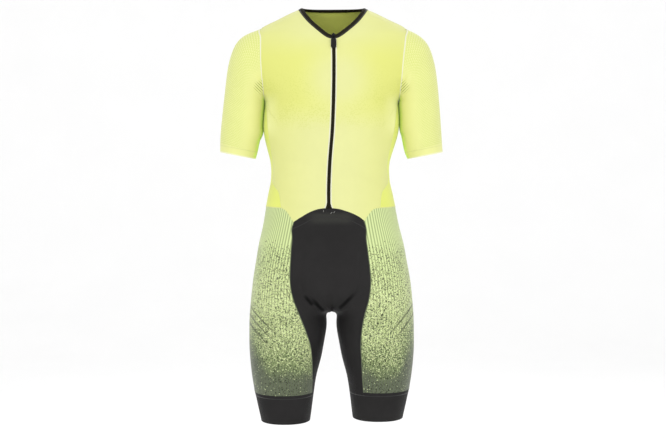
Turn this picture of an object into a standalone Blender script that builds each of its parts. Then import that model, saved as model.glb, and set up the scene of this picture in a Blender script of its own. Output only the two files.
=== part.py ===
"""Cycling skinsuit in its worn shape with no wearer. Each cloth piece is a thin wall on one surface that
runs through a table of sections. Metres, +Z up, front towards -Y. The origin is the middle of the neck
opening, level with the points where neck and shoulder meet. Tables are in millimetres, one row a section."""

import math

import bmesh
import bpy
import numpy as np

MM = 0.001

# Driving sizes, in millimetres
WALL = 1.2  # thickness of the cloth
BAND_WALL = 1.6  # elastic leg bands
SEAM_GAP = 0.3  # between two pieces along a seam
LEG_GAP = 0.45  # least distance of either leg from the middle line
SAME_PLACE, SAME_SIDE = 1.0, 0.3  # edge points this near, whose directions agree this much, meet at one seam
ARMHOLE_TOP, ARMHOLE_BOTTOM = -47.0, -212.0
ARMHOLE_FRONT, ARMHOLE_BACK = 62.0, 66.0  # depth of the armhole before and behind the side line
CROTCH = -708.0
CROTCH_ROUND = 11.0  # half width over which the two legs run into each other
WAIST_BACK = -458.0  # waist seam at the centre back
LEG_MIDDLE = 105.0  # distance of the middle of a leg from the middle of the suit
HEM, BAND_TOP = -966.0, -897.0  # leg hem and upper edge of the leg band
HEM_LIFT = {"right": 0.0, "left": 7.0}  # the wearer's left leg band sits a little higher
BINDING_WIDTH, BINDING_WALL = 8.0, 2.0
BINDING_SMOOTHINGS = 3
ZIP_HALF, ZIP_FLARE_HALF, ZIP_FLARE_LENGTH = 3.6, 7.6, 16.0
ZIP_PROUD = 0.4  # how far the zip stands out of the cloth
SIDES = {"right": -1, "left": 1}

# One row for each level: half width at the side, distance of the front-most line from the middle, depths
# before and behind the side line, and the two roundness powers of the section.
SECTION_COLUMNS = ("height", "side", "crest", "front", "back", "square", "round")
SECTIONS = [
    (0, 74, 0, 30, 58, 2.2, 1.7),
    (-12, 102, 0, 41, 68, 2.2, 1.7),
    (-25, 128, 0, 52, 77, 2.2, 1.6),
    (-47, 169, 0, 68, 88, 2.3, 1.3),
    (-70, 167.3, 0, 82, 97, 2.4, 1.0),
    (-100, 165, 0, 97, 104, 2.4, 1.0),
    (-135, 162.6, 0, 110, 109, 2.4, 1.0),
    (-170, 160, 0, 118, 110, 2.4, 1.0),
    (-200, 157.8, 0, 121, 108, 2.4, 1.15),
    (-212, 157, 0, 121.5, 107, 2.4, 1.3),
    (-235, 157.8, 0, 120.5, 104, 2.4, 1.6),
    (-262, 159.4, 0, 117, 98, 2.35, 1.9),
    (-283, 159.4, 0, 113.5, 94, 2.3, 2),
    (-305, 154.5, 0, 110, 91, 2.3, 2),
    (-324, 149.3, 0, 107, 88, 2.3, 2),
    (-343, 143.5, 0, 104.5, 85, 2.3, 2),
    (-362, 138.7, 0, 102, 83, 2.3, 2),
    (-400, 139.8, 0, 99, 82, 2.3, 2),
    (-437, 148, 0, 98, 87, 2.25, 2),
    (-475, 154.5, 0, 99, 98, 2.2, 2.05),
    (-512, 161.5, 34, 101, 109, 2.2, 2.1),
    (-550, 171, 64, 102, 119, 2.15, 2.15),
    (-587, 177.5, 80, 102, 126, 2.15, 2.15),
    (-625, 184.5, 90, 101, 129, 2.15, 2.15),
    (-662, 189, 96, 99, 127, 2.15, 2.15),
    (-700, 192.5, 101, 97, 116, 2.15, 2.15),
    (-719, 194, 102, 96, 108, 2.15, 2.15),
    (-757, 195, 104, 95, 95, 2.15, 2.15),
    (-794, 195, 107, 92, 87, 2.15, 2.15),
    (-832, 192, 109, 87, 80, 2.15, 2.15),
    (-870, 187.4, 111, 81, 73, 2.15, 2.15),
    (-907, 180.4, 111, 75, 67, 2.15, 2.15),
    (-945, 172.1, 110, 69.5, 62, 2.15, 2.15),
    (-966, 167.0, 109, 67, 60, 2.15, 2.15),
]

# How far the whole section, and the line of the centre front, lean from the middle at each level.
LEAN_COLUMNS = ("height", "section", "centre_front")
LEANS = [
    (0, 3.5, 4.0),
    (-70, 3.5, 4.5),
    (-125, 1.0, 5.4),
    (-204, 0.5, 4.7),
    (-283, -1.1, 1.8),
    (-351, -3.8, -3.6),
    (-404, -3.0, -6.1),
    (-435, -2.6, -6.5),
    (-530, -1.0, -5.5),
    (-633, 0.0, -2.5),
    (-710, 0.0, 0.0),
    (-966, 0.0, 0.0),
]

# Where the surface crosses the middle plane above the crotch, before and behind.
RISE_COLUMNS = ("height", "front", "back")
RISES = [
    (-600, 102.5, 127),
    (-640, 100.5, 126),
    (-662, 96, 119),
    (-680, 86.5, 104),
    (-694, 70, 80),
    (-703, 47, 50),
    (-707, 22, 22),
    (CROTCH, 0, 0),
]

# Half the gap between the legs below the crotch.
INNER_COLUMNS = ("height", "inner")
INNERS = [
    (CROTCH, 0),
    (-708.8, 6),
    (-710.5, 10.5),
    (-714, 12.4),
    (-719, 12.2),
    (-738, 11),
    (-757, 13),
    (-776, 16.5),
    (-795, 20),
    (-813, 23.5),
    (-832, 28.5),
    (-851, 34),
    (-870, 38),
    (-907, 43),
    (-945, 47.6),
    (-966, 50.5),
]

# Side seam, as the distance from the middle on the front.
SIDE_SEAM_COLUMNS = ("height", "x")
SIDE_SEAM = [
    (-225, 152.6),
    (-245, 149.5),
    (-283, 145.5),
    (-326, 137.5),
    (-362, 133),
    (-385, 133.5),
    (-402, 134.5),
    (-414, 127.5),
    (-424, 119.5),
    (-438, 116),
    (-461.5, 113.5),
]

# Neckline, from the neck point to the zip.
NECKLINE_COLUMNS = ("x", "height")
NECKLINE = [
    (78.5, -2),
    (72, -13.5),
    (65, -23.5),
    (57, -33.5),
    (48, -42.7),
    (39.5, -50.5),
    (28, -60.3),
    (20, -66.7),
    (12, -71.6),
    (3.9, -74.5),
]

# Lower edge of a lime front, from the zip along the arch to its corner, then to the side seam: (x, height).
ARCH_EDGE = [(7.9, -462), (23, -464), (37, -468), (49, -472.2), (60, -477), (70, -482.5), (80.5, -490.5)]
WAIST_EDGE = [(80.5, -490.5), (85.5, -483), (91, -475.5), (98.5, -467), (106, -462.8), (113.5, -461.5)]

# The wearer's right end of the black arch hangs lower: how much, where, and how far round that point.
SAG = {"drop": 4.6, "x": -72.0, "height": -486.0, "x_reach": 24.0, "height_reach": 26.0}

# Lower edge of the arched band, from the middle out.
BAND_EDGE = [(0, -481), (15, -481.8), (30, -484), (45, -488), (59, -494), (72, -501), (85, -509)]

# Seam between the black front and each outer leg panel, as the distance from the middle line of the front.
LEG_SEAM_COLUMNS = ("height", "right", "left")
FRONT_SEAM = [
    (-490.5, 80.5, 80.5),
    (-509, 85, 85),
    (-530, 84.5, 84.5),
    (-560, 87.5, 87.5),
    (-600, 91, 91),
    (-633, 92, 92),
    (-670, 86.5, 86.5),
    (-706, 74, 76),
    (-742, 60.5, 69.5),
    (-779, 49.5, 67),
    (-816, 45.5, 69),
    (-854, 45, 71),
    (-893, 46, 74),
]

# Seam behind, between outer leg panel and seat or inner leg panel.
BACK_SEAM = [
    (WAIST_BACK, 97, 97),
    (-509, 98, 98),
    (-560, 99, 99),
    (-633, 99, 99),
    (-670, 95, 95),
    (-706, 86, 86),
    (-742, 78, 78),
    (-779, 72, 72),
    (-816, 70, 70),
    (-854, 70, 70),
    (-893, 72, 72),
]

# Sleeve sections, each a ring through an inner and an outer point; the first ring is the armhole.
SLEEVE_COLUMNS = ("inner_x", "inner_height", "outer_x", "outer_height", "front", "back")
SLEEVE_SECTIONS = [
    (157.7, -214.5, 203, -61, 62, 66),
    (157.9, -218, 223, -80, 61.5, 64.5),
    (158.2, -223, 234.5, -105, 60, 62),
    (158.6, -231, 243, -137, 58, 59),
    (159.3, -243, 248, -175, 56, 56.5),
    (160.3, -260, 252, -212, 54, 54),
    (161.8, -285, 255.5, -248, 52.5, 52),
    (168.5, -318, 258.8, -288, 50.5, 50),
    (172.5, -336, 260.3, -315, 49.5, 49),
    (177.9, -350, 261, -334, 49, 48.5),
]

SIDE_FRONT = 1 - 1e-9  # the side line, taken as the edge of the front

# Facets
RING_SEGMENTS = 16  # round a sleeve
SHOULDER_SEGMENTS = 4
WAIST_SEGMENTS = 9  # from the side-seam corner to the centre back
SEAT_CORNER = 6  # which of those points the seam behind the leg starts from
DIAGONAL_SEGMENTS = 6  # along the seam from the corner down to the crotch
CROTCH_SEGMENTS = 2
INNER_SPAN = 120.0  # nominal width of an inner leg panel, for spacing its net
DIAGONAL_EASE, CROTCH_EASE, INNER_EASE = 0.8, 0.5, 1.5  # powers that crowd net rows towards the crotch
CURVE_ONLY = (-385, -438)  # levels that shape the side seam and get no net row
SHARP_ANGLE = 40.0  # degrees; sharper edges are drawn and rounded as edges
BAND_ROWS = 2

# Levels of the net rows down a leg, and where its seams meet
LEG_ROWS = (-490.5, -509, -530, -560, -595, -633, -652, -670, -688, -706, -724, -742, -779, -816, -854)
CORNER = -633.0  # where centre panel, outer and inner leg panels meet
TIP = -700.0  # where the centre panels end on the middle line

# Zip slider and its pull tab. Measures run along the zip (down), across it and out from its face.
SLIDER_HEIGHT = -70.0
SLIDER_SIZE = {"up": 4.2, "down": 5.0, "half_width": 4.2, "face": 3.0}
BRIDGE_SIZE = {"half_width": 1.2, "up": 3.6, "down": 4.2, "leg": 1.0, "low": 5.2, "high": 6.2}
HINGE_ALONG, HINGE_OUT = 2.0, 4.2
PULL_THICKNESS = 1.2
PULL_TILT = 6.0  # degrees that the hanging tab leans in towards the cloth
PULL_HOLE = {"start": 0.6, "end": 6.0, "half_width": 2.0}
# Half outline of the tab: (along, half width).
PULL_OUTLINE = [(-0.6, 3.4), (6.6, 3.4), (9.4, 6.2), (28.0, 6.2), (30.4, 5.2), (32.0, 2.6)]
EDGE_ROUND = 0.35  # on the edges of slider and tab

COLOURS = {
    "lime": ((0.84, 0.90, 0.28, 1), 0.62),
    "yellow": ((0.80, 0.86, 0.17, 1), 0.68),
    "speckle": ((0.36, 0.48, 0.16, 1), 0.66),
    "black": ((0.018, 0.017, 0.016, 1), 0.62),
    "trim": ((0.014, 0.014, 0.014, 1), 0.5),
    "pull": ((0.02, 0.02, 0.02, 1), 0.32),
}


def clear_scene():
    for old in list(bpy.data.objects):
        bpy.data.objects.remove(old, do_unlink=True)


def material(name):
    colour, roughness = COLOURS[name]
    found = bpy.data.materials.get(name)
    if found:
        return found
    made = bpy.data.materials.new(name)
    made.use_nodes = True
    shader = made.node_tree.nodes["Principled BSDF"]
    shader.inputs["Base Color"].default_value = colour
    shader.inputs["Roughness"].default_value = roughness
    shader.inputs["Metallic"].default_value = 0.0
    return made


def smooth_curve(table, columns, name):
    """A function of the first column that runs smoothly through the named column of a table."""
    column = columns.index(name)
    rows = sorted(table)
    xs = [row[0] for row in rows]
    ys = [row[column] for row in rows]
    slopes = []
    for i in range(len(xs)):
        low, high = max(i - 1, 0), min(i + 1, len(xs) - 1)
        slopes.append((ys[high] - ys[low]) / (xs[high] - xs[low]))

    def value(x):
        if x <= xs[0]:
            return ys[0]
        if x >= xs[-1]:
            return ys[-1]
        i = int(np.searchsorted(xs, x, side="right")) - 1
        width = xs[i + 1] - xs[i]
        t = (x - xs[i]) / width
        blend = t * t * (3 - 2 * t)
        start = t * (1 - t) ** 2 * width * slopes[i]
        end = t * t * (t - 1) * width * slopes[i + 1]
        return ys[i] + (ys[i + 1] - ys[i]) * blend + start + end

    return value


section_curves = {name: smooth_curve(SECTIONS, SECTION_COLUMNS, name) for name in SECTION_COLUMNS[1:]}
lean = smooth_curve(LEANS, LEAN_COLUMNS, "section")
centre_front = smooth_curve(LEANS, LEAN_COLUMNS, "centre_front")
rise_curves = {face: smooth_curve(RISES, RISE_COLUMNS, face) for face in ("front", "back")}
inner_gap = smooth_curve(INNERS, INNER_COLUMNS, "inner")


def section(height):
    values = {name: curve(height) for name, curve in section_curves.items()}
    values["crest"] = max(values["crest"], 0.0)
    return values


def armhole_edge(height, face):
    """How far before or behind the side line the armhole lies at this level."""
    middle, half = (ARMHOLE_TOP + ARMHOLE_BOTTOM) / 2, (ARMHOLE_TOP - ARMHOLE_BOTTOM) / 2
    inside = 1 - ((height - middle) / half) ** 2
    depth = ARMHOLE_FRONT if face == "front" else ARMHOLE_BACK
    return depth * math.sqrt(inside) if inside > 0 else 0.0


def inner_reach(height, face, s):
    """The rounded distance from the middle at which the inner side of a leg section would end."""
    crest, power, depth = s["crest"], s["square"], s[face]
    if height > CROTCH:
        mid = min(rise_curves[face](height), depth)
        share = max(1 - (mid / depth) ** power, 0.0) ** (1 / power)
        if height > RISES[0][0] or share < 1e-6:
            return None
        return crest - (crest - CROTCH_ROUND) / share
    stretch = crest / math.sqrt(crest**2 - CROTCH_ROUND**2)
    return math.hypot(inner_gap(height) / stretch, CROTCH_ROUND)


def half_point(around, height):
    """A point of one half of the suit. Around is -1 at the inner front, 0 at the front crest, 1 at the side,
    2 at the back crest and 3 at the inner back."""
    s = section(height)
    face = "front" if around < 1 else "back"
    sign = -1 if face == "front" else 1
    crest, power, depth = s["crest"], s["square"], s[face]
    if around < 0 and crest == 0:
        x, y = half_point(-around, height)
        return -x, y
    if 0 <= around <= 2:
        angle = (around if around <= 1 else 2 - around) * math.pi / 2
        across = math.sin(angle) ** (2 / power)
        edge = armhole_edge(height, face)
        rest = max(math.cos(angle), 0.0) ** (2 / s["round"])
        return crest + (s["side"] - crest) * across, sign * (edge + (depth - edge) * rest)
    part = -around if around < 0 else around - 2
    across = math.sin(min(part, 1.0) * math.pi / 2) ** (2 / power)
    reach = inner_reach(height, face, s)
    if reach is None:
        return crest * (1 - across), sign * depth
    span = crest - max(reach, CROTCH_ROUND)
    rounded = crest - across * span
    share = min((crest - rounded) / (crest - reach), 1.0)
    stretch = crest / math.sqrt(crest**2 - CROTCH_ROUND**2)
    x = stretch * math.sqrt(max(rounded**2 - CROTCH_ROUND**2, 0.0))
    return x, sign * depth * (1 - share**power) ** (1 / power)


def depth_at(x, height, face):
    """Depth of the suit at a distance from its middle line, seen from the front or from behind."""
    s = section(height)
    sign = -1 if face == "front" else 1
    crest, power, depth = s["crest"], s["square"], s[face]
    x = abs(x)
    if x >= crest:
        across = min((x - crest) / (s["side"] - crest), 1.0)
        edge = armhole_edge(height, face)
        return sign * (edge + (depth - edge) * (1 - across**power) ** (1 / s["round"]))
    reach = inner_reach(height, face, s)
    if reach is None:
        return sign * depth
    stretch = crest / math.sqrt(crest**2 - CROTCH_ROUND**2)
    rounded = math.hypot(x / stretch, CROTCH_ROUND)
    share = min(max((crest - rounded) / (crest - reach), 0.0), 1.0)
    return sign * depth * (1 - share**power) ** (1 / power)


def around_of(x, height, face):
    """The around value of a point given by its distance from the middle line."""
    if x < 0:
        return -around_of(-x, height, face)
    s = section(height)
    crest, power = s["crest"], s["square"]
    if x >= crest:
        across = min((x - crest) / (s["side"] - crest), 1.0)
        part = math.asin(across ** (power / 2)) / (math.pi / 2)
        return part if face == "front" else 2 - part
    reach = inner_reach(height, face, s)
    if reach is None:
        across = 1 - x / crest
    else:
        stretch = crest / math.sqrt(crest**2 - CROTCH_ROUND**2)
        across = (crest - math.hypot(x / stretch, CROTCH_ROUND)) / (crest - max(reach, CROTCH_ROUND))
    part = math.asin(min(max(across, 0.0), 1.0) ** (power / 2)) / (math.pi / 2)
    return -part if face == "front" else 2 + part


def place(side, around, height):
    x, y = half_point(around, height)
    return (SIDES[side] * x + lean(height), y, height)


def place_flat(x, height, face):
    """A point seen from the front or from behind; x is a true position, not a distance."""
    return (x, depth_at(x - lean(height), height, face), height)


def from_centre(side, distance, height):
    """True x of a point that lies this far from the leaning centre-front line."""
    return centre_front(height) + SIDES[side] * distance


def to_half(side, x, height):
    return SIDES[side] * (x - lean(height))


def spaced(start, end, count):
    return [start + (end - start) * i / count for i in range(count + 1)]


def coons(top, bottom, left, right):
    """A net of points between four edges; top and bottom run from left to right, left and right downwards."""
    top, bottom, left, right = (np.array(edge, float) for edge in (top, bottom, left, right))
    across = length_shares(top, bottom)
    down = length_shares(left, right)
    net = np.zeros((len(left), len(top), top.shape[1]))
    for i, v in enumerate(down):
        for j, u in enumerate(across):
            ruled = (1 - v) * top[j] + v * bottom[j] + (1 - u) * left[i] + u * right[i]
            corners = (1 - v) * ((1 - u) * top[0] + u * top[-1]) + v * ((1 - u) * bottom[0] + u * bottom[-1])
            net[i, j] = ruled - corners
    return net


def length_shares(one, other):
    """How far along each point lies, the mean of two facing edges."""
    shares = []
    for edge in (one, other):
        steps = np.maximum(np.linalg.norm(np.diff(edge, axis=0), axis=1), 1e-9)
        shares.append(np.concatenate([[0], np.cumsum(steps)]) / steps.sum())
    return (shares[0] + shares[1]) / 2


def half_net(side, top, bottom, left, right, origin=0.0):
    """A net on one half of the suit. Edges are lists of (around, height), netted on a plane where around is
    stretched by the half width of the suit at that level, measured from origin."""
    edges = []
    for edge in (top, bottom, left, right):
        edges.append([((a - origin) * section(h)["side"], h) for a, h in edge])
    rows = []
    for row in coons(*edges):
        rows.append([(origin + x / section(h)["side"], h) for x, h in row])
    return rows


class Net:
    """Outer points of one cloth piece, row by row, with its thickness."""

    def __init__(self, name, points, colour, wall=WALL, closed=False):
        self.name, self.colour, self.wall, self.closed = name, colour, wall, closed
        self.points = np.array(points, float)
        self.normals = self.grid_normals()

    def grid_normals(self):
        p = self.points
        down = np.gradient(p, axis=0)
        if self.closed:
            across = (np.roll(p, -1, axis=1) - np.roll(p, 1, axis=1)) / 2
        else:
            across = np.gradient(p, axis=1)
        normals = np.cross(down, across)
        lengths = np.linalg.norm(normals, axis=2, keepdims=True)
        return normals / np.maximum(lengths, 1e-9)

    def edge_keys(self):
        rows, columns = self.points.shape[:2]
        keys = [(i, j) for i in (0, rows - 1) for j in range(columns)]
        if not self.closed:
            keys += [(i, j) for j in (0, columns - 1) for i in range(1, rows - 1)]
        return keys


def share_edge_normals(nets):
    """Gives points where pieces meet one common direction, so that the walls stand edge to edge."""
    entries = [(net, key) for net in nets for key in net.edge_keys()]
    places = np.array([net.points[key] for net, key in entries])
    directions = np.array([net.normals[key] for net, key in entries])
    for index, (net, key) in enumerate(entries):
        near = np.linalg.norm(places - places[index], axis=1) < SAME_PLACE
        near &= directions @ directions[index] > SAME_SIDE
        mean = directions[near].sum(axis=0)
        net.normals[key] = mean / np.linalg.norm(mean)


def inset(net, gap):
    """Moves the edges of a net inwards by this much, square to each edge."""
    old = net.points.copy()

    def shift(edge, inner):
        way = inner - edge
        if net.closed:
            along = np.roll(edge, -1, axis=0) - np.roll(edge, 1, axis=0)
        else:
            along = np.gradient(edge, axis=0)
        along /= np.linalg.norm(along, axis=-1, keepdims=True)
        way -= (way * along).sum(axis=-1, keepdims=True) * along
        return way / np.linalg.norm(way, axis=-1, keepdims=True) * gap

    net.points[0] += shift(old[0], old[1])
    net.points[-1] += shift(old[-1], old[-2])
    if not net.closed:
        net.points[:, 0] += shift(old[:, 0], old[:, 1])
        net.points[:, -1] += shift(old[:, -1], old[:, -2])


def make_object(name, vertices, faces, colour, smooth=True):
    mesh = bpy.data.meshes.new(name)
    mesh.from_pydata([tuple(c * MM for c in v) for v in vertices], [], faces)
    mesh.update()
    shape = bmesh.new()
    shape.from_mesh(mesh)
    bmesh.ops.recalc_face_normals(shape, faces=shape.faces)
    if shape.calc_volume(signed=True) < 0:
        bmesh.ops.reverse_faces(shape, faces=shape.faces)
    shape.to_mesh(mesh)
    shape.free()
    mesh.materials.append(material(colour))
    made = bpy.data.objects.new(name, mesh)
    bpy.context.scene.collection.objects.link(made)
    if smooth:
        mesh.shade_smooth()
        mesh.set_sharp_from_angle(angle=math.radians(SHARP_ANGLE))
    return made


def rim_faces(outer, a, b):
    """Two triangles of the strip between outer points a and b and the inner points below them. The fold
    between them depends only on where the points lie, so that facing rims fold alike."""
    count = len(outer)
    step = outer[b] - outer[a]
    if step[np.argmax(np.abs(step))] > 0:
        return [(a, b, count + b), (a, count + b, count + a)]
    return [(a, b, count + a), (b, count + b, count + a)]


def wall_object(net):
    """A closed wall: the net, the same net moved inwards, and the strips round its edges."""
    rows, columns = net.points.shape[:2]
    outer = net.points.reshape(-1, 3)
    inner = (net.points - net.normals * net.wall).reshape(-1, 3)
    count = rows * columns
    faces = []
    last = columns if net.closed else columns - 1
    for i in range(rows - 1):
        for j in range(last):
            k = (j + 1) % columns
            a, b, c, d = i * columns + j, i * columns + k, (i + 1) * columns + k, (i + 1) * columns + j
            faces.append((a, d, c, b))
            faces.append((count + a, count + b, count + c, count + d))
    for i in (0, (rows - 1) * columns):
        for j in range(last):
            faces += rim_faces(outer, i + j, i + (j + 1) % columns)
    if not net.closed:
        for j in (0, columns - 1):
            for i in range(rows - 1):
                faces += rim_faces(outer, i * columns + j, (i + 1) * columns + j)
    return make_object(net.name, np.concatenate([outer, inner]), faces, net.colour)


def armhole_heights():
    """Levels of the armhole points from its top to its bottom."""
    middle, half = (ARMHOLE_TOP + ARMHOLE_BOTTOM) / 2, (ARMHOLE_TOP - ARMHOLE_BOTTOM) / 2
    count = RING_SEGMENTS // 2
    return [middle + half * math.cos(math.pi * i / count) for i in range(count + 1)]


def side_seam_points():
    """(around, height) down the side seam from the armpit."""
    curve = smooth_curve(SIDE_SEAM, SIDE_SEAM_COLUMNS, "x")
    lowest = SIDE_SEAM[-1][0]
    heights = [ARMHOLE_BOTTOM, *(row[0] for row in SIDE_SEAM if row[0] not in CURVE_ONLY), lowest]
    heights = sorted(set(heights), reverse=True)
    return [(SIDE_FRONT, heights[0])] + [(around_of(curve(h), h, "front"), h) for h in heights[1:]]


def shoulder_heights():
    return spaced(NECKLINE[0][1], ARMHOLE_TOP, SHOULDER_SEGMENTS)


def front_bottom(side):
    """(x, height) of a lime front's lower edge from the zip to the side seam."""
    points = []
    for distance, height in ARCH_EDGE + WAIST_EDGE[1:-1]:
        points.append((from_centre(side, distance, height), height))
    last_x, last_height = WAIST_EDGE[-1]
    points.append((lean(last_height) + SIDES[side] * last_x, last_height))
    return points


def neckline_points(side):
    """(around, height) of a front neckline from the zip outwards, as many as along its lower edge."""
    curve = smooth_curve(NECKLINE, NECKLINE_COLUMNS, "height")
    height = NECKLINE[-1][1]
    start = to_half(side, from_centre(side, ZIP_HALF + SEAM_GAP, height), height)
    count = len(ARCH_EDGE) + len(WAIST_EDGE) - 2
    points = []
    for x in spaced(start, NECKLINE[0][0], count)[:-1]:
        height = curve(max(x, NECKLINE[-1][0]))
        points.append((around_of(x, height, "front"), height))
    return [*points, (SIDE_FRONT, NECKLINE[0][1])]


def upper_side_points():
    """(around, height) from the neck point along the shoulder seam, the armhole and the side seam."""
    shoulder = [(SIDE_FRONT, h) for h in shoulder_heights()]
    armhole = [(SIDE_FRONT, h) for h in armhole_heights()]
    return shoulder + armhole[1:] + side_seam_points()[1:]


def zip_heights():
    """Levels of the net rows down the zip edge, as many as down the other side of a front."""
    return spaced(NECKLINE[-1][1], ARCH_EDGE[0][1], len(upper_side_points()) - 1)


def front_net(side):
    right = upper_side_points()
    bottom = [(around_of(to_half(side, x, h), h, "front"), h) for x, h in front_bottom(side)]
    left = []
    for h in zip_heights():
        x = from_centre(side, zip_half(h) + SEAM_GAP, h)
        left.append((around_of(to_half(side, x, h), h, "front"), h))
    bottom[0] = left[-1]
    bottom[-1] = right[-1]
    top = neckline_points(side)
    top[0] = left[0]
    net = half_net(side, top, bottom, left, right)
    points = [[place(side, min(a, SIDE_FRONT), h) for a, h in row] for row in net]
    return Net(f"front_{side}", points, "lime")


def zip_half(height):
    """Half width of the black zip line, which flares at its lower end."""
    bottom = ARCH_EDGE[0][1]
    share = max(0.0, 1 - (height - bottom) / ZIP_FLARE_LENGTH)
    return ZIP_HALF + (ZIP_FLARE_HALF - ZIP_HALF) * share**2


def waist_back_points(count):
    """(around, height) of the waist seam from the side-seam corner to the centre back."""
    corner_height = SIDE_SEAM[-1][0]
    start = around_of(SIDE_SEAM[-1][1], corner_height, "front")
    points = []
    for i in range(count + 1):
        share = i / count
        points.append((start + (2 - start) * share, corner_height + (WAIST_BACK - corner_height) * share))
    return points


def back_net():
    """One panel; each half is netted from the centre back to the side, then the two are joined."""
    halves = {}
    for side in SIDES:
        top = [(a, NECKLINE[0][1]) for a in spaced(2.0, 1.0, WAIST_SEGMENTS)]
        right = [(max(a, 1.0) if h > ARMHOLE_BOTTOM else a, h) for a, h in upper_side_points()]
        bottom = list(reversed(waist_back_points(WAIST_SEGMENTS)))
        left = [(2.0, h) for h in spaced(NECKLINE[0][1], WAIST_BACK, len(right) - 1)]
        net = half_net(side, top, bottom, left, right, origin=2.0)
        points = [[place(side, max(a, 1.0) if h > ARMHOLE_BOTTOM else a, h) for a, h in row] for row in net]
        halves[side] = np.array(points)
    joined = np.concatenate([halves["right"][:, ::-1], halves["left"][:, 1:]], axis=1)
    return Net("back", joined, "yellow")


def sleeve_net(side):
    """Rings from the armhole to the cuff, each starting at its inner point and going round by the front."""
    sign = SIDES[side]
    rings = []
    angles = [2 * math.pi * i / RING_SEGMENTS for i in range(RING_SEGMENTS)]
    middle, half = (ARMHOLE_TOP + ARMHOLE_BOTTOM) / 2, (ARMHOLE_TOP - ARMHOLE_BOTTOM) / 2
    first = []
    for angle in angles:
        height = middle - half * math.cos(angle)
        depth = ARMHOLE_FRONT if angle <= math.pi else ARMHOLE_BACK
        x = sign * (section(height)["side"] + SEAM_GAP) + lean(height)
        first.append((x, -depth * math.sin(angle), height))
    rings.append(first)
    for section_row in SLEEVE_SECTIONS:
        at = dict(zip(SLEEVE_COLUMNS, section_row))
        ring = []
        for angle in angles:
            share = (1 + math.cos(angle)) / 2
            depth = at["front"] if angle <= math.pi else at["back"]
            x = at["outer_x"] + (at["inner_x"] - at["outer_x"]) * share
            height = at["outer_height"] + (at["inner_height"] - at["outer_height"]) * share
            lean_share = 1 - (len(rings) / len(SLEEVE_SECTIONS)) ** 3
            ring.append((sign * x + lean(at["inner_height"]) * lean_share, -depth * math.sin(angle), height))
        rings.append(ring)
    return Net(f"sleeve_{side}", rings, "lime", closed=True)


def seam_around(side, table, face, height):
    """The around value of a leg seam at a level."""
    distance = smooth_curve(table, LEG_SEAM_COLUMNS, side)(height)
    if face == "front":
        distance = to_half(side, from_centre(side, distance, height), height)
    return around_of(distance, height, face)


def band_top(side):
    return BAND_TOP + HEM_LIFT[side]


def seam_heights(side, start):
    heights = [h for h in LEG_ROWS if h <= start]
    return heights + [band_top(side)]


def outer_leg_net(side):
    left = [(seam_around(side, FRONT_SEAM, "front", h), h) for h in seam_heights(side, LEG_ROWS[0])]
    corner = left[0]
    waist_edge = front_bottom(side)[len(ARCH_EDGE) - 1 :]
    waist = [(around_of(to_half(side, x, h), h, "front"), h) for x, h in waist_edge]
    top = [corner, *waist[1:], *waist_back_points(WAIST_SEGMENTS)[1 : SEAT_CORNER + 1]]
    right = back_seam_points(side)
    bottom = [(a, band_top(side)) for a in spaced(left[-1][0], right[-1][0], len(top) - 1)]
    net = half_net(side, top, bottom, left, right)
    return Net(f"outer_leg_{side}", [[place(side, a, h) for a, h in row] for row in net], "speckle")


def back_seam_points(side):
    """As many points down the back seam as down the front one, with the same levels from the corner down."""
    above = len([h for h in LEG_ROWS if h >= CORNER])
    below = [h for h in LEG_ROWS if h < CORNER]
    first = waist_back_points(WAIST_SEGMENTS)[SEAT_CORNER]
    heights = spaced(first[1], CORNER, above - 1)[1:] + below + [band_top(side)]
    return [first] + [(seam_around(side, BACK_SEAM, "back", h), h) for h in heights]


def diagonal_height(index):
    return CORNER + (TIP - CORNER) * (index / DIAGONAL_SEGMENTS) ** DIAGONAL_EASE


def crotch_heights():
    """Levels along the middle line from the tip of a centre panel to the lowest point."""
    shares = [(i / CROTCH_SEGMENTS) ** CROTCH_EASE for i in range(1, CROTCH_SEGMENTS + 1)]
    return [TIP + (CROTCH - TIP) * share for share in shares]


def diagonal(side, face):
    """(around, height) from the corner of the leg seams down to the middle line near the crotch."""
    table, end = (FRONT_SEAM, -1.0) if face == "front" else (BACK_SEAM, 3.0)
    points = []
    for i in range(DIAGONAL_SEGMENTS + 1):
        height = diagonal_height(i)
        start = seam_around(side, table, face, height)
        points.append((start + (end - start) * i / DIAGONAL_SEGMENTS, height))
    return points


def inner_leg_net(side):
    """Front and back halves share the line down the inner side of the leg. Each half is netted on a plane
    where share runs from the leg seam (0) to that line (1)."""
    halves = {}
    for face, table, end in (("front", FRONT_SEAM, -1.0), ("back", BACK_SEAM, 3.0)):
        heights = seam_heights(side, CORNER)
        steps = len(heights) - 1
        top = [(i / DIAGONAL_SEGMENTS, diagonal_height(i)) for i in range(DIAGONAL_SEGMENTS + 1)]
        top += [(1.0, h) for h in crotch_heights()]
        bottom = [(share, band_top(side)) for share in spaced(0.0, 1.0, len(top) - 1)]
        edge = [(0.0, h) for h in heights]
        shares = [(i / steps) ** INNER_EASE for i in range(steps + 1)]
        inner = [(1.0, CROTCH + (band_top(side) - CROTCH) * share) for share in shares]
        lines = [[(share * INNER_SPAN, h) for share, h in line] for line in (top, bottom, edge, inner)]
        rows = []
        for line in coons(*lines):
            row = []
            for x, h in line:
                start = seam_around(side, table, face, h)
                row.append(place(side, start + (end - start) * x / INNER_SPAN, h))
            rows.append(row)
        halves[face] = np.array(rows)
    joined = np.concatenate([halves["front"], halves["back"][:, ::-1][:, 1:]], axis=1)
    # Both legs meet on the middle line, so each keeps to its own side of it.
    sign = SIDES[side]
    middle = np.array([lean(h) for h in joined[..., 2].ravel()]).reshape(joined.shape[:2])
    offset = sign * (joined[..., 0] - middle)
    joined[..., 0] = middle + sign * np.maximum(offset, LEG_GAP)
    return Net(f"inner_leg_{side}", joined, "black")


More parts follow.
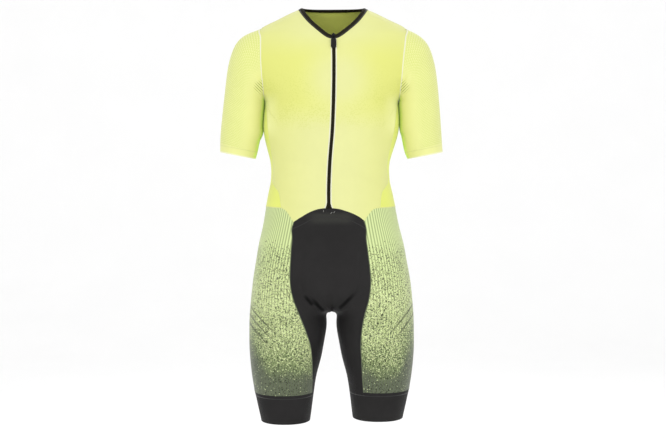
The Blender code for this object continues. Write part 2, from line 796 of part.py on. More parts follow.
def front_view_net(name, top, bottom, left, right, face, colour, wall=WALL):
    net = coons(top, bottom, left, right)
    return Net(name, [[place_flat(x, h, face) for x, h in row] for row in net], colour, wall)


def halved(line):
    """The line with a point added in the middle of each of its segments."""
    points = [line[0]]
    for (x, h), (next_x, next_h) in zip(line, line[1:]):
        points += [((x + next_x) / 2, (h + next_h) / 2), (next_x, next_h)]
    return points


def true_x(side, around, height):
    return place(side, around, height)[0], height


def panel_net(face):
    """The black centre panel of the shorts, before or behind."""
    table = FRONT_SEAM if face == "front" else BACK_SEAM
    bottom_right = [true_x("right", a, h) for a, h in diagonal("right", face)]
    bottom_left = [true_x("left", a, h) for a, h in diagonal("left", face)]
    bottom = bottom_right + list(reversed(bottom_left))[1:]
    if face == "front":
        start = BAND_EDGE[-1][1]
        heights = [h for h in LEG_ROWS if CORNER <= h <= start]
        top = [(from_centre("right", x, h), h) for x, h in reversed(BAND_EDGE)]
        top += [(from_centre("left", x, h), h) for x, h in BAND_EDGE[1:]]
    else:
        seat = waist_back_points(WAIST_SEGMENTS)[SEAT_CORNER:]
        line = [true_x("right", a, h) for a, h in seat]
        line += [true_x("left", a, h) for a, h in reversed(seat[:-1])]
        top = halved(line)
    edges = {}
    for side in SIDES:
        if face == "front":
            edges[side] = [true_x(side, seam_around(side, table, face, h), h) for h in heights]
        else:
            edges[side] = [true_x(side, a, h) for a, h in back_seam_points(side) if h >= CORNER]
    name = "front_panel" if face == "front" else "seat_panel"
    return front_view_net(name, top, bottom, edges["right"], edges["left"], face, "black")


def arch_net():
    top, bottom = [], []
    for side, order in (("right", reversed), ("left", lambda rows: list(rows)[1:])):
        outline = [(0.0, ARCH_EDGE[0][1] - SEAM_GAP)] + ARCH_EDGE[1:]
        top += [(from_centre(side, x, h), h) for x, h in order(outline)]
        bottom += [(from_centre(side, x, h), h) for x, h in order(BAND_EDGE)]
    left, right = [top[0], bottom[0]], [top[-1], bottom[-1]]
    middle = [((a[0] + b[0]) / 2, (a[1] + b[1]) / 2) for a, b in ((left[0], left[1]), (right[0], right[1]))]
    left.insert(1, middle[0])
    right.insert(1, middle[1])
    return front_view_net("front_arch", top, bottom, left, right, "front", "black")


def gripper_net(side, outer, inner):
    """The leg band hangs from the lowest points of the two leg panels, with as many points round."""
    top = band_top(side)
    start = seam_around(side, FRONT_SEAM, "front", top)
    end = seam_around(side, BACK_SEAM, "back", top)
    half = inner.points.shape[1] // 2
    arounds = spaced(start, end, outer.points.shape[1] - 1)
    arounds += spaced(end, 3.0, half)[1:]
    arounds += spaced(-1.0, start, half)[1:-1]
    rows = []
    for height in spaced(top, HEM + HEM_LIFT[side], BAND_ROWS):
        rows.append([place(side, a, height) for a in arounds])
    return Net(f"gripper_{side}", rows, "black", wall=BAND_WALL, closed=True)


def zip_net():
    heights = [NECKLINE[-1][1] + BINDING_WIDTH - 1, *zip_heights()]
    rows = []
    for height in heights:
        half, centre = zip_half(height), centre_front(height)
        rows.append([place_flat(centre + x, height, "front") for x in (-half, 0.0, half)])
    net = Net("zip_tape", rows, "trim", wall=WALL + ZIP_PROUD)
    net.points = net.points + net.normals * ZIP_PROUD
    return net


def binding_net(fronts, back):
    """A band that continues the neckline edges of the three upper panels."""
    right, left = fronts["right"].points, fronts["left"].points
    edge = np.concatenate([right[0, :-1], back.points[0], left[0, ::-1][1:]])
    below = np.concatenate([right[1, :-1], back.points[1], left[1, ::-1][1:]])
    ways = edge - below
    tangents = np.gradient(edge, axis=0)
    tangents /= np.linalg.norm(tangents, axis=1, keepdims=True)
    ways -= (ways * tangents).sum(axis=1, keepdims=True) * tangents
    ways /= np.linalg.norm(ways, axis=1, keepdims=True)
    ways[0, 0] = ways[-1, 0] = 0.0
    for _ in range(BINDING_SMOOTHINGS):
        ways[1:-1] = (ways[:-2] + 2 * ways[1:-1] + ways[2:]) / 4
    ways /= np.linalg.norm(ways, axis=1, keepdims=True)
    rows = [edge + ways * reach for reach in (BINDING_WIDTH, BINDING_WIDTH / 2, SEAM_GAP)]
    return Net("neck_binding", rows, "trim", wall=BINDING_WALL)


def turn_outwards(net):
    """Sleeves and legs are rings about their own middle, the rest lies round the middle of the suit."""
    centre = np.zeros(3)
    if net.closed:
        centre = net.points.reshape(-1, 3).mean(axis=0)
    elif net.name.startswith(("inner_leg", "outer_leg")):
        centre[0] = LEG_MIDDLE if net.name.endswith("left") else -LEG_MIDDLE
    away = net.points - centre
    away[..., 2] = 0
    if (away * net.normals).sum() < 0:
        net.normals = -net.normals


def sag(net):
    """Lets the cloth round the wearer's right end of the black arch hang lower."""
    x, y, z = net.points[..., 0], net.points[..., 1], net.points[..., 2]
    off = ((x - SAG["x"]) / SAG["x_reach"]) ** 2 + ((z - SAG["height"]) / SAG["height_reach"]) ** 2
    net.points[..., 2] = z - SAG["drop"] * np.exp(-off) * (y < 0)


def build_cloth():
    fronts = {side: front_net(side) for side in SIDES}
    back = back_net()
    outers = {side: outer_leg_net(side) for side in SIDES}
    inners = {side: inner_leg_net(side) for side in SIDES}
    nets = [*fronts.values(), back, *outers.values(), *inners.values()]
    nets += [panel_net("front"), panel_net("back"), arch_net()]
    nets += [gripper_net(side, outers[side], inners[side]) for side in SIDES]
    nets += [sleeve_net(side) for side in SIDES]
    nets += [zip_net(), binding_net(fronts, back)]
    for net in nets:
        sag(net)
        turn_outwards(net)
    share_edge_normals(nets)
    for net in nets:
        inset(net, SEAM_GAP / 2)
        wall_object(net)


def zip_frame():
    """Origin on the face of the zip at the slider, and directions across, along (down) and out."""
    reach = SLIDER_SIZE["up"]
    above, middle, below = (
        np.array(place_flat(centre_front(h), h, "front"))
        for h in (SLIDER_HEIGHT + reach, SLIDER_HEIGHT, SLIDER_HEIGHT - reach)
    )
    along = (below - above) / np.linalg.norm(below - above)
    across = np.array([1.0, 0.0, 0.0]) - along[0] * along
    across /= np.linalg.norm(across)
    out = np.cross(across, -along)
    out = out if out[1] < 0 else -out
    return middle + out * ZIP_PROUD, across, along, out


def slab(name, outline, low, high, colour, frame, pivot=(0.0, 0.0, 0.0)):
    """A flat piece: an outline of (across, along) points, from low to high out of the zip's face. Its object
    origin lies at pivot, in the same measures."""
    origin, across, along, out = frame
    at = origin + across * pivot[0] + along * pivot[1] + out * pivot[2]
    vertices = []
    for level in (low, high):
        for x, t in outline:
            vertices.append(origin + across * x + along * t + out * level - at)
    count = len(outline)
    faces = [tuple(range(count)), tuple(reversed(range(count, 2 * count)))]
    for i in range(count):
        k = (i + 1) % count
        faces.append((i, i + count, k + count, k))
    made = make_object(name, vertices, faces, colour)
    made.location = [c * MM for c in at]
    return made


def rectangle(half_width, start, end):
    return [(-half_width, start), (half_width, start), (half_width, end), (-half_width, end)]


def combine(target, tool, operation):
    """Adds or cuts a helper, which is kept out of the render."""
    tool.hide_render = True
    tool.display_type = "WIRE"
    change = target.modifiers.new(tool.name, "BOOLEAN")
    change.operation = operation
    change.solver = "EXACT"
    change.object = tool


def round_edges(target):
    bevel = target.modifiers.new("rounded_edges", "BEVEL")
    bevel.width = EDGE_ROUND * MM
    bevel.segments = 2
    bevel.limit_method = "ANGLE"
    bevel.angle_limit = math.radians(SHARP_ANGLE)


def build_slider():
    """A slider body with a bridge over it, under which the tab's crossbar lies."""
    frame = zip_frame()
    body = rectangle(SLIDER_SIZE["half_width"], -SLIDER_SIZE["up"], SLIDER_SIZE["down"])
    slider = slab("zip_slider", body, SEAM_GAP, SLIDER_SIZE["face"], "pull", frame)
    bridge = BRIDGE_SIZE
    outline = rectangle(bridge["half_width"], -bridge["up"], bridge["down"])
    arch = slab("bridge_shape", outline, SLIDER_SIZE["face"] - 1, bridge["high"], "pull", frame)
    leg = bridge["leg"]
    opening = rectangle(bridge["half_width"] + 1, leg - bridge["up"], bridge["down"] - leg)
    gap = slab("bridge_gap", opening, SLIDER_SIZE["face"] - 2, bridge["low"], "pull", frame)
    combine(arch, gap, "DIFFERENCE")
    combine(slider, arch, "UNION")
    round_edges(slider)


def build_pull():
    """The hanging tab. Its object origin is the middle of the crossbar, which it turns about."""
    origin, across, along, out = zip_frame()
    tilt = math.radians(PULL_TILT)
    hinge = origin + along * HINGE_ALONG + out * HINGE_OUT
    down = along * math.cos(tilt) - out * math.sin(tilt)
    face = out * math.cos(tilt) + along * math.sin(tilt)
    frame = (hinge, across, down, face)
    half = PULL_THICKNESS / 2
    outline = [(-w, t) for t, w in PULL_OUTLINE] + [(w, t) for t, w in reversed(PULL_OUTLINE)]
    pull = slab("zip_pull", outline, -half, half, "pull", frame)
    hole = rectangle(PULL_HOLE["half_width"], PULL_HOLE["start"], PULL_HOLE["end"])
    combine(pull, slab("pull_hole", hole, -half - 1, half + 1, "pull", frame), "DIFFERENCE")
    round_edges(pull)


clear_scene()
build_cloth()
build_slider()
build_pull()
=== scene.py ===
"""Looks of the cycling skinsuit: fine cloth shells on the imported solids' form, with creases, seams, zip and
procedural knit materials. Tables are in millimetres, the scene in metres, front towards -Y, +Z up."""

import bpy
import bmesh
import math
import numpy as np
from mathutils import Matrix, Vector


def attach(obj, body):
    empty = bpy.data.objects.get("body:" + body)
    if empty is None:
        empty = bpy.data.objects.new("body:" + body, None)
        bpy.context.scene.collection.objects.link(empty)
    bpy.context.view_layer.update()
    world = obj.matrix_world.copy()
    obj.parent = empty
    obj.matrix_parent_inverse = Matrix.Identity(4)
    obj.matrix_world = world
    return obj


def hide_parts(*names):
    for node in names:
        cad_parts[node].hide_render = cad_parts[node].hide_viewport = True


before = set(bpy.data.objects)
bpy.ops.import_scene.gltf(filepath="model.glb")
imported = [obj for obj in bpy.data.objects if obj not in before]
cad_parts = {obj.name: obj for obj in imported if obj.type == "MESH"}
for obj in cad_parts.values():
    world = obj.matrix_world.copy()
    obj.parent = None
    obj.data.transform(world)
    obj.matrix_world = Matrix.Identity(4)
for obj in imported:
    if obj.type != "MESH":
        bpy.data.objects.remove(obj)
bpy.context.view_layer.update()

MM = 0.001

# Driving sizes, in millimetres
FINE = 6  # fine steps for each step of the solid
WALL = 0.7  # thickness of the cloth shells
BAND_WALL = 1.3
SEAM_GAP = 0.3  # between two pieces along a seam
LEG_GAP = 0.45  # least distance of either leg from the middle line
SAME_PLACE, SAME_SIDE = 1.0, 0.3  # edge points this near, with directions this alike, share a seam
ARMHOLE_TOP, ARMHOLE_BOTTOM = -47.0, -212.0
ARMHOLE_MIDDLE = (ARMHOLE_TOP + ARMHOLE_BOTTOM) / 2
ARMHOLE_HALF = (ARMHOLE_TOP - ARMHOLE_BOTTOM) / 2
ARMHOLE_FRONT, ARMHOLE_BACK = 62.0, 66.0  # depth of the armhole before and behind the side line
CROTCH = -708.0
CROTCH_ROUND = 11.0  # half width over which the two legs run into each other
WAIST_BACK = -458.0  # waist seam at the centre back
LEG_MIDDLE = 105.0  # distance of the middle of a leg from the middle of the suit
HEM, BAND_TOP = -966.0, -897.0  # leg hem and upper edge of the leg band
HEM_LIFT = {"right": 0.0, "left": 7.0}  # the wearer's left leg band sits a little higher
BINDING_WIDTH = 8.0
BINDING_SMOOTHINGS = 3  # rounds for each square of FINE, along the neckline
NECK_MIDDLE = (0.0, 0.0, -60.0)  # a point inside the neck, which the binding faces away from
TAPE_WALL = 1.2
ZIP_HALF, ZIP_FLARE_HALF, ZIP_FLARE_LENGTH = 3.6, 7.6, 16.0
ZIP_PROUD = 0.4  # how far the zip stands out of the cloth
SIDES = {"right": -1, "left": 1}

# One row for each level: half width at the side, distance of the front-most line from the middle, depths
# before and behind the side line, and the two roundness powers of the section.
SECTION_COLUMNS = ("height", "side", "crest", "front", "back", "square", "round")
SECTIONS = [
    (0, 74, 0, 30, 58, 2.2, 1.7),
    (-12, 102, 0, 41, 68, 2.2, 1.7),
    (-25, 128, 0, 52, 77, 2.2, 1.6),
    (-47, 169, 0, 68, 88, 2.3, 1.3),
    (-70, 167.3, 0, 82, 97, 2.4, 1.0),
    (-100, 165, 0, 97, 104, 2.4, 1.0),
    (-135, 162.6, 0, 110, 109, 2.4, 1.0),
    (-170, 160, 0, 118, 110, 2.4, 1.0),
    (-200, 157.8, 0, 121, 108, 2.4, 1.15),
    (-212, 157, 0, 121.5, 107, 2.4, 1.3),
    (-235, 157.8, 0, 120.5, 104, 2.4, 1.6),
    (-262, 159.4, 0, 117, 98, 2.35, 1.9),
    (-283, 159.4, 0, 113.5, 94, 2.3, 2),
    (-305, 154.5, 0, 110, 91, 2.3, 2),
    (-324, 149.3, 0, 107, 88, 2.3, 2),
    (-343, 143.5, 0, 104.5, 85, 2.3, 2),
    (-362, 138.7, 0, 102, 83, 2.3, 2),
    (-400, 139.8, 0, 99, 82, 2.3, 2),
    (-437, 148, 0, 98, 87, 2.25, 2),
    (-475, 154.5, 0, 99, 98, 2.2, 2.05),
    (-512, 161.5, 34, 101, 109, 2.2, 2.1),
    (-550, 171, 64, 102, 119, 2.15, 2.15),
    (-587, 177.5, 80, 102, 126, 2.15, 2.15),
    (-625, 184.5, 90, 101, 129, 2.15, 2.15),
    (-662, 189, 96, 99, 127, 2.15, 2.15),
    (-700, 192.5, 101, 97, 116, 2.15, 2.15),
    (-719, 194, 102, 96, 108, 2.15, 2.15),
    (-757, 195, 104, 95, 95, 2.15, 2.15),
    (-794, 195, 107, 92, 87, 2.15, 2.15),
    (-832, 192, 109, 87, 80, 2.15, 2.15),
    (-870, 187.4, 111, 81, 73, 2.15, 2.15),
    (-907, 180.4, 111, 75, 67, 2.15, 2.15),
    (-945, 172.1, 110, 69.5, 62, 2.15, 2.15),
    (-966, 167.0, 109, 67, 60, 2.15, 2.15),
]

# How far the whole section, and the line of the centre front, lean from the middle at each level.
# Columns: height, section, centre front.
LEANS = [
    (0, 3.5, 4.0),
    (-70, 3.5, 4.5),
    (-125, 1.0, 5.4),
    (-204, 0.5, 4.7),
    (-283, -1.1, 1.8),
    (-351, -3.8, -3.6),
    (-404, -3.0, -6.1),
    (-435, -2.6, -6.5),
    (-530, -1.0, -5.5),
    (-633, 0.0, -2.5),
    (-710, 0.0, 0.0),
    (-966, 0.0, 0.0),
]

# Where the surface crosses the middle plane above the crotch, before and behind.
# Columns: height, front, back.
RISES = [
    (-600, 102.5, 127),
    (-640, 100.5, 126),
    (-662, 96, 119),
    (-680, 86.5, 104),
    (-694, 70, 80),
    (-703, 47, 50),
    (-707, 22, 22),
    (CROTCH, 0, 0),
]

# Half the gap between the legs below the crotch.
# Columns: height, inner.
INNERS = [
    (CROTCH, 0),
    (-708.8, 6),
    (-710.5, 10.5),
    (-714, 12.4),
    (-719, 12.2),
    (-738, 11),
    (-757, 13),
    (-776, 16.5),
    (-795, 20),
    (-813, 23.5),
    (-832, 28.5),
    (-851, 34),
    (-870, 38),
    (-907, 43),
    (-945, 47.6),
    (-966, 50.5),
]

# Side seam, as the distance from the middle on the front.
# Columns: height, x.
SIDE_SEAM = [
    (-225, 152.6),
    (-245, 149.5),
    (-283, 145.5),
    (-326, 137.5),
    (-362, 133),
    (-385, 133.5),
    (-402, 134.5),
    (-414, 127.5),
    (-424, 119.5),
    (-438, 116),
    (-461.5, 113.5),
]
SIDE_SEAM_SKIPPED = (-385, -438)  # levels that shape the seam but get no row in the nets

# Neckline, from the neck point to the zip.
# Columns: x, height.
NECKLINE = [
    (78.5, -2),
    (72, -13.5),
    (65, -23.5),
    (57, -33.5),
    (48, -42.7),
    (39.5, -50.5),
    (28, -60.3),
    (20, -66.7),
    (12, -71.6),
    (3.9, -74.5),
]

# Lower edge of a lime front, from the zip along the arch to its corner, then out to the side seam.
# Columns: x, height.
ARCH_EDGE = [(7.9, -462), (23, -464), (37, -468), (49, -472.2), (60, -477), (70, -482.5), (80.5, -490.5)]
WAIST_EDGE = [(80.5, -490.5), (85.5, -483), (91, -475.5), (98.5, -467), (106, -462.8), (113.5, -461.5)]

# The wearer's right end of the black arch hangs lower: how much, where, and how far round that point.
SAG = {"drop": 4.6, "x": -72.0, "height": -486.0, "x_reach": 24.0, "height_reach": 26.0}

# Lower edge of the arched band, from the middle out.
BAND_EDGE = [(0, -481), (15, -481.8), (30, -484), (45, -488), (59, -494), (72, -501), (85, -509)]

# Seam between the black front and each outer leg panel, as the distance from the middle line of the front.
# Columns: height, right, left.
FRONT_SEAM = [
    (-490.5, 80.5, 80.5),
    (-509, 85, 85),
    (-530, 84.5, 84.5),
    (-560, 87.5, 87.5),
    (-600, 91, 91),
    (-633, 92, 92),
    (-670, 86.5, 86.5),
    (-706, 74, 76),
    (-742, 60.5, 69.5),
    (-779, 49.5, 67),
    (-816, 45.5, 69),
    (-854, 45, 71),
    (-893, 46, 74),
]

# Seam behind, between outer leg panel and seat or inner leg panel.
BACK_SEAM = [
    (WAIST_BACK, 97, 97),
    (-509, 98, 98),
    (-560, 99, 99),
    (-633, 99, 99),
    (-670, 95, 95),
    (-706, 86, 86),
    (-742, 78, 78),
    (-779, 72, 72),
    (-816, 70, 70),
    (-854, 70, 70),
    (-893, 72, 72),
]

# Sleeve sections, each a ring through an inner and an outer point; the first ring is the armhole.
# Columns: inner x, inner height, outer x, outer height, front, back.
SLEEVE_SECTIONS = [
    (157.7, -214.5, 203, -61, 62, 66),
    (157.9, -218, 223, -80, 61.5, 64.5),
    (158.2, -223, 234.5, -105, 60, 62),
    (158.6, -231, 243, -137, 58, 59),
    (159.3, -243, 248, -175, 56, 56.5),
    (160.3, -260, 252, -212, 54, 54),
    (161.8, -285, 255.5, -248, 52.5, 52),
    (168.5, -318, 258.8, -288, 50.5, 50),
    (172.5, -336, 260.3, -315, 49.5, 49),
    (177.9, -350, 261, -334, 49, 48.5),
]

SIDE_FRONT = 1 - 1e-9  # the side line, taken as the edge of the front

# Facets
RING_SEGMENTS = 16 * FINE  # round a sleeve
SHOULDER_SEGMENTS = 4 * FINE
WAIST_SEGMENTS = 9 * FINE  # from the side-seam corner to the centre back
SEAT_CORNER = 6 * FINE  # which of those points the seam behind the leg starts from
DIAGONAL_SEGMENTS = 6 * FINE  # along the seam from the corner down to the crotch
CROTCH_SEGMENTS = 2 * FINE
INNER_SPAN = 120.0  # nominal width of an inner leg panel, for spacing its net
BAND_ROWS = 3 * FINE

# Levels of the net rows down a leg, and where its seams meet
LEG_LEVELS = [-490.5, -509, -530, -560, -595, -633, -652, -670, -688, -706, -724, -742, -779, -816, -854]
CORNER = -633.0  # where centre panel, outer and inner leg panels meet
TIP = -700.0  # where the centre panels end on the middle line

# Creases on each face: x and height of both ends as seen from the front, width, and how far out (or in).
CREASES = {
    "front": [
        (-180, -160, -158, -190, 5, 2.8), (-178, -178, -156, -203, 4.5, 2.3),
        (-174, -194, -158, -213, 4, 1.8), (180, -158, 158, -187, 5, 2.7),
        (176, -176, 157, -200, 4.5, 2.2), (-190, -676, -112, -748, 4.6, 2.6),
        (-191, -694, -128, -757, 4.2, 2.2), (-186, -712, -146, -754, 4.2, 1.6),
        (-150, -690, -108, -724, 4.5, 1.2), (187, -664, 122, -748, 4.8, 2.4),
        (188, -684, 134, -752, 4.4, 1.8), (149, -646, 104, -679, 5, 1.3),
        (-64, -650, -20, -696, 4.6, -2.6), (-72, -656, -34, -694, 4.0, -1.8),
        (64, -645, 19, -693, 4.6, -2.5), (68, -654, 34, -690, 4.0, -1.4),
        (-14, -688, 13, -691, 2.4, 0.5), (-126, -384, -62, -370, 9, 0.9), (122, -394, 60, -378, 9, 0.8),
        (-118, -326, -72, -344, 10, 0.6), (-156, -556, -94, -612, 11, 1.0),
        (156, -546, 97, -602, 11, 0.9), (-244, -250, -203, -263, 7, 0.9),
        (-238, -200, -198, -216, 8, 0.8), (242, -246, 202, -258, 7, 0.9),
        (236, -196, 198, -210, 8, 0.7),
    ],
    "back": [
        (-96, -370, 62, -381, 10, 1.6), (-64, -402, 98, -391, 10, 1.4), (-34, -427, 54, -420, 9, 0.9),
        (-134, -686, -38, -714, 9, 1.7), (132, -690, 40, -712, 9, 1.6), (-156, -172, -94, -218, 9, 1.5),
        (156, -176, 96, -214, 9, 1.3), (-152, -204, -106, -242, 8, 1.0), (150, -200, 102, -238, 8, 0.9),
        (-150, -843, -88, -862, 8, 1.0), (150, -838, 92, -855, 8, 0.9), (-18, -644, -72, -600, 10, 0.9),
        (22, -640, 70, -606, 10, 0.8), (-240, -240, -200, -256, 7, 1.0), (240, -248, 202, -262, 7, 0.9),
    ],
}

CREASE_BOW = 0.06  # how far a crease bows, as a share of its length
CREASE_SIDES = {"out": 1.7, "depth": 0.55}  # hollows beside it: in widths, and as a share of its height

# Painted shade inside the deepest creases of the black, from the faint end to the strong one: (x, height) in
# metres
FOLD_SHADES = [
    ((-0.053, -0.66), (-0.02, -0.697)),
    ((0.06, -0.648), (0.02, -0.69)),
    ((-0.066, -0.656), (-0.046, -0.68)),
]
FOLD_SHADE_REACH = 0.0068
# Painted shade inside the creases of the outer legs, in the same form
LEG_FOLD_SHADES = {
    "right": [
        ((-0.106, -0.77), (-0.189, -0.694)),
        ((-0.118, -0.78), (-0.192, -0.712)),
        ((-0.132, -0.788), (-0.194, -0.73)),
    ],
    "left": [((0.12, -0.764), (0.189, -0.69)), ((0.134, -0.776), (0.192, -0.71))],
}
LEG_FOLD_SHADE_REACH = 0.003

# Seat pad under the black front, as it shows on the outside
PAD = {"x": -2, "z": -612, "half_width": 72, "down": 106, "edge": 0.03, "top": -520, "height": 4.6}

# Neck binding, folded over the cloth's edge: round its section, how far up the neck and out of the cloth.
BINDING_PROFILE = [
    (-2.6, 0.1),
    (-2.2, 0.6),
    (0.0, 0.9),
    (3.0, 1.0),
    (5.5, 0.9),
    (7.4, 0.45),
    (8.2, -0.5),
    (8.0, -1.5),
    (7.0, -2.1),
    (4.0, -2.2),
    (0.3, -2.0),
    (0.3, 0.05),
]
SMOOTHINGS = 14  # rounds that even out each cloth net between its seams

# Where each sleeve's inside leaves the torso, how close it lies above that, half a row of the torso's net
HUG_LOW = {"right": -284, "left": -272}
HUG_GAP, HUG_ROW = -0.1, 3.2
HUG_FADE = {"low": 22, "high": 6}  # over which it starts below the armpit and lets go of the torso

# Small stitched bars under the zip: (x, height) of both ends
TACKS = [
    ((-18.1, -465.6), (-18.5, -470.2)),
    ((-2.6, -474.4), (1.4, -470.6)),
    ((4.8, -472.4), (7.7, -468.4)),
]

# Zip: across its tape, and the coil's pitch and height
ZIP_ROW, COIL_PITCH = 0.42, 1.7
COIL_PROFILE = [(0.0, 0.35), (0.3, 0.8), (0.8, 1.05), (1.3, 0.85), (1.75, 0.1), (2.2, 0.0)]

# Seam bands: half width and height of the stitched band
SEAM_BAND = [(-1.5, -0.15), (-1.1, 0.22), (-0.4, 0.32), (0.4, 0.32), (1.1, 0.22), (1.5, -0.15)]
THIN_BAND = [(-1.1, -0.12), (-0.6, 0.2), (0.6, 0.2), (1.1, -0.12)]
FLAT_BAND = [(-1.1, -0.12), (-0.6, 0.08), (0.6, 0.08), (1.1, -0.12)]
TACK_BAND = [(-0.8, -0.1), (-0.5, 0.4), (0.5, 0.4), (0.8, -0.1)]
ZIP_FOLD = [(0.1, -0.1), (0.4, 0.35), (1.5, 0.42), (2.3, 0.3), (2.8, -0.1)]

# Materials, in metres. A fade gives the heights where it starts, is full, is last full, and ends.
KNIT_SCALE = 0.314 / 0.0011  # of the wave texture, for ribs 1.1 mm apart
HEM_ZONE, EDGE_ZONE = 0.0165, 0.0022  # plain hem of a sleeve, and the pale edge below it
SCALE_SIZE = (0.0052, 0.0036)  # one scale of the sleeves
STITCH_PITCH, GATHER_PITCH, RIB_PITCH = 0.0026, 0.0048, 0.0068  # seam stitches, armpit gathers, leg ribs
LEG_CORE = (0.1, 0.095)  # the ribs run down the leg, set round a core: how far out it is, and its radius
GRAIN_SCALE = 560  # cells of the legs' grains in a metre
ARMPIT = (0.165, -0.045, -0.182)  # where a sleeve is gathered
CHEST_MIDDLE = (0.02, -0.1, -0.17)  # the chest stays paler round this point
CHEST = (-0.29, -0.21, -0.13, -0.05)  # fade of the stronger colour across the chest
CHEST_SPECKS = (-0.3, -0.25, -0.2, -0.12)
# fade of the painted light on the torso below the armpit
BELOW_ARMPIT = (-0.31, -0.27, -0.225, -0.19)
ARCH_HIGHLIGHT = (-0.503, -0.488, -0.478, -0.468)  # fade of the painted highlight along the black arch
EXPOSURE = 0.817  # share of a colour kept, for the light of this studio


def denser(line):
    """The line with FINE steps for each of its steps, on a smooth curve through its points."""
    p = np.array(line, float)
    flat = p.ndim == 1
    p = p.reshape(len(p), -1) if not flat else p[:, None]
    padded = np.concatenate([2 * p[:1] - p[1:2], p, 2 * p[-1:] - p[-2:-1]])
    found = []
    for i in range(len(p) - 1):
        a, b, c, d = padded[i : i + 4]
        square, cube = 2 * a - 5 * b + 4 * c - d, 3 * b - a - 3 * c + d
        for t in (k / FINE for k in range(FINE)):
            found.append(0.5 * (2 * b + (c - a) * t + square * t**2 + cube * t**3))
    found = np.array([*found, p[-1]])
    return list(found[:, 0]) if flat else [tuple(row) for row in found]


def smooth_curve(table, column):
    """A function that runs smoothly through one column of a table whose first column falls."""
    rows = sorted(table)
    xs = [row[0] for row in rows]
    ys = [row[column] for row in rows]
    slopes = []
    for i in range(len(xs)):
        low, high = max(i - 1, 0), min(i + 1, len(xs) - 1)
        slopes.append((ys[high] - ys[low]) / (xs[high] - xs[low]))

    def value(x):
        if x <= xs[0]:
            return ys[0]
        if x >= xs[-1]:
            return ys[-1]
        i = int(np.searchsorted(xs, x, side="right")) - 1
        width = xs[i + 1] - xs[i]
        t = (x - xs[i]) / width
        blend = t * t * (3 - 2 * t)
        start = t * (1 - t) ** 2 * width * slopes[i]
        end = t * t * (t - 1) * width * slopes[i + 1]
        return ys[i] + (ys[i + 1] - ys[i]) * blend + start + end

    return value


LEG_ROWS = denser(LEG_LEVELS)
section_curves = {name: smooth_curve(SECTIONS, i) for i, name in enumerate(SECTION_COLUMNS) if i}
lean = smooth_curve(LEANS, 1)
centre_front = smooth_curve(LEANS, 2)
rise_curves = {"front": smooth_curve(RISES, 1), "back": smooth_curve(RISES, 2)}
inner_gap = smooth_curve(INNERS, 1)


def section(height):
    """The measures of the suit's section at a level."""
    values = {name: curve(height) for name, curve in section_curves.items()}
    values["crest"] = max(values["crest"], 0.0)
    return values


def armhole_edge(height, face):
    """How far before or behind the side line the armhole lies at this level."""
    inside = 1 - ((height - ARMHOLE_MIDDLE) / ARMHOLE_HALF) ** 2
    depth = ARMHOLE_FRONT if face == "front" else ARMHOLE_BACK
    return depth * math.sqrt(inside) if inside > 0 else 0.0


def stretch_of(crest):
    """How much wider the rounded distance makes a leg section, which brings it back to its width."""
    return crest / math.sqrt(crest**2 - CROTCH_ROUND**2)


def inner_reach(height, face, s):
    """The rounded distance from the middle at which the inner side of a leg section would end."""
    crest, power, depth = s["crest"], s["square"], s[face]
    if height > CROTCH:
        mid = min(rise_curves[face](height), depth)
        share = max(1 - (mid / depth) ** power, 0.0) ** (1 / power)
        if height > RISES[0][0] or share < 1e-6:
            return None
        return crest - (crest - CROTCH_ROUND) / share
    stretch = stretch_of(crest)
    return math.hypot(inner_gap(height) / stretch, CROTCH_ROUND)


def half_point(around, height):
    """A point of one half of the suit. Around is -1 at the inner front, 0 at the front crest, 1 at the
    side, 2 at the back crest and 3 at the inner back."""
    s = section(height)
    face = "front" if around < 1 else "back"
    sign = -1 if face == "front" else 1
    crest, power, depth = s["crest"], s["square"], s[face]
    if around < 0 and crest == 0:
        x, y = half_point(-around, height)
        return -x, y
    if 0 <= around <= 2:
        angle = (around if around <= 1 else 2 - around) * math.pi / 2
        across = math.sin(angle) ** (2 / power)
        edge = armhole_edge(height, face)
        rest = max(math.cos(angle), 0.0) ** (2 / s["round"])
        return crest + (s["side"] - crest) * across, sign * (edge + (depth - edge) * rest)
    part = -around if around < 0 else around - 2
    across = math.sin(min(part, 1.0) * math.pi / 2) ** (2 / power)
    reach = inner_reach(height, face, s)
    if reach is None:
        return crest * (1 - across), sign * depth
    span = crest - max(reach, CROTCH_ROUND)
    rounded = crest - across * span
    share = min((crest - rounded) / (crest - reach), 1.0)
    stretch = stretch_of(crest)
    x = stretch * math.sqrt(max(rounded**2 - CROTCH_ROUND**2, 0.0))
    return x, sign * depth * (1 - share**power) ** (1 / power)


def depth_at(x, height, face):
    """Depth of the suit at a distance from its middle line, seen from the front or from behind."""
    s = section(height)
    sign = -1 if face == "front" else 1
    crest, power, depth = s["crest"], s["square"], s[face]
    x = abs(x)
    if x >= crest:
        across = min((x - crest) / (s["side"] - crest), 1.0)
        edge = armhole_edge(height, face)
        return sign * (edge + (depth - edge) * (1 - across**power) ** (1 / s["round"]))
    reach = inner_reach(height, face, s)
    if reach is None:
        return sign * depth
    stretch = stretch_of(crest)
    rounded = math.hypot(x / stretch, CROTCH_ROUND)
    share = min(max((crest - rounded) / (crest - reach), 0.0), 1.0)
    return sign * depth * (1 - share**power) ** (1 / power)


def around_of(x, height, face):
    """The around value of a point given by its distance from the middle line."""
    if x < 0:
        return -around_of(-x, height, face)
    s = section(height)
    crest, power = s["crest"], s["square"]
    if x >= crest:
        across = min((x - crest) / (s["side"] - crest), 1.0)
        part = math.asin(across ** (power / 2)) / (math.pi / 2)
        return part if face == "front" else 2 - part
    reach = inner_reach(height, face, s)
    if reach is None:
        across = 1 - x / crest
    else:
        stretch = stretch_of(crest)
        across = (crest - math.hypot(x / stretch, CROTCH_ROUND)) / (crest - max(reach, CROTCH_ROUND))
    part = math.asin(min(max(across, 0.0), 1.0) ** (power / 2)) / (math.pi / 2)
    return -part if face == "front" else 2 + part


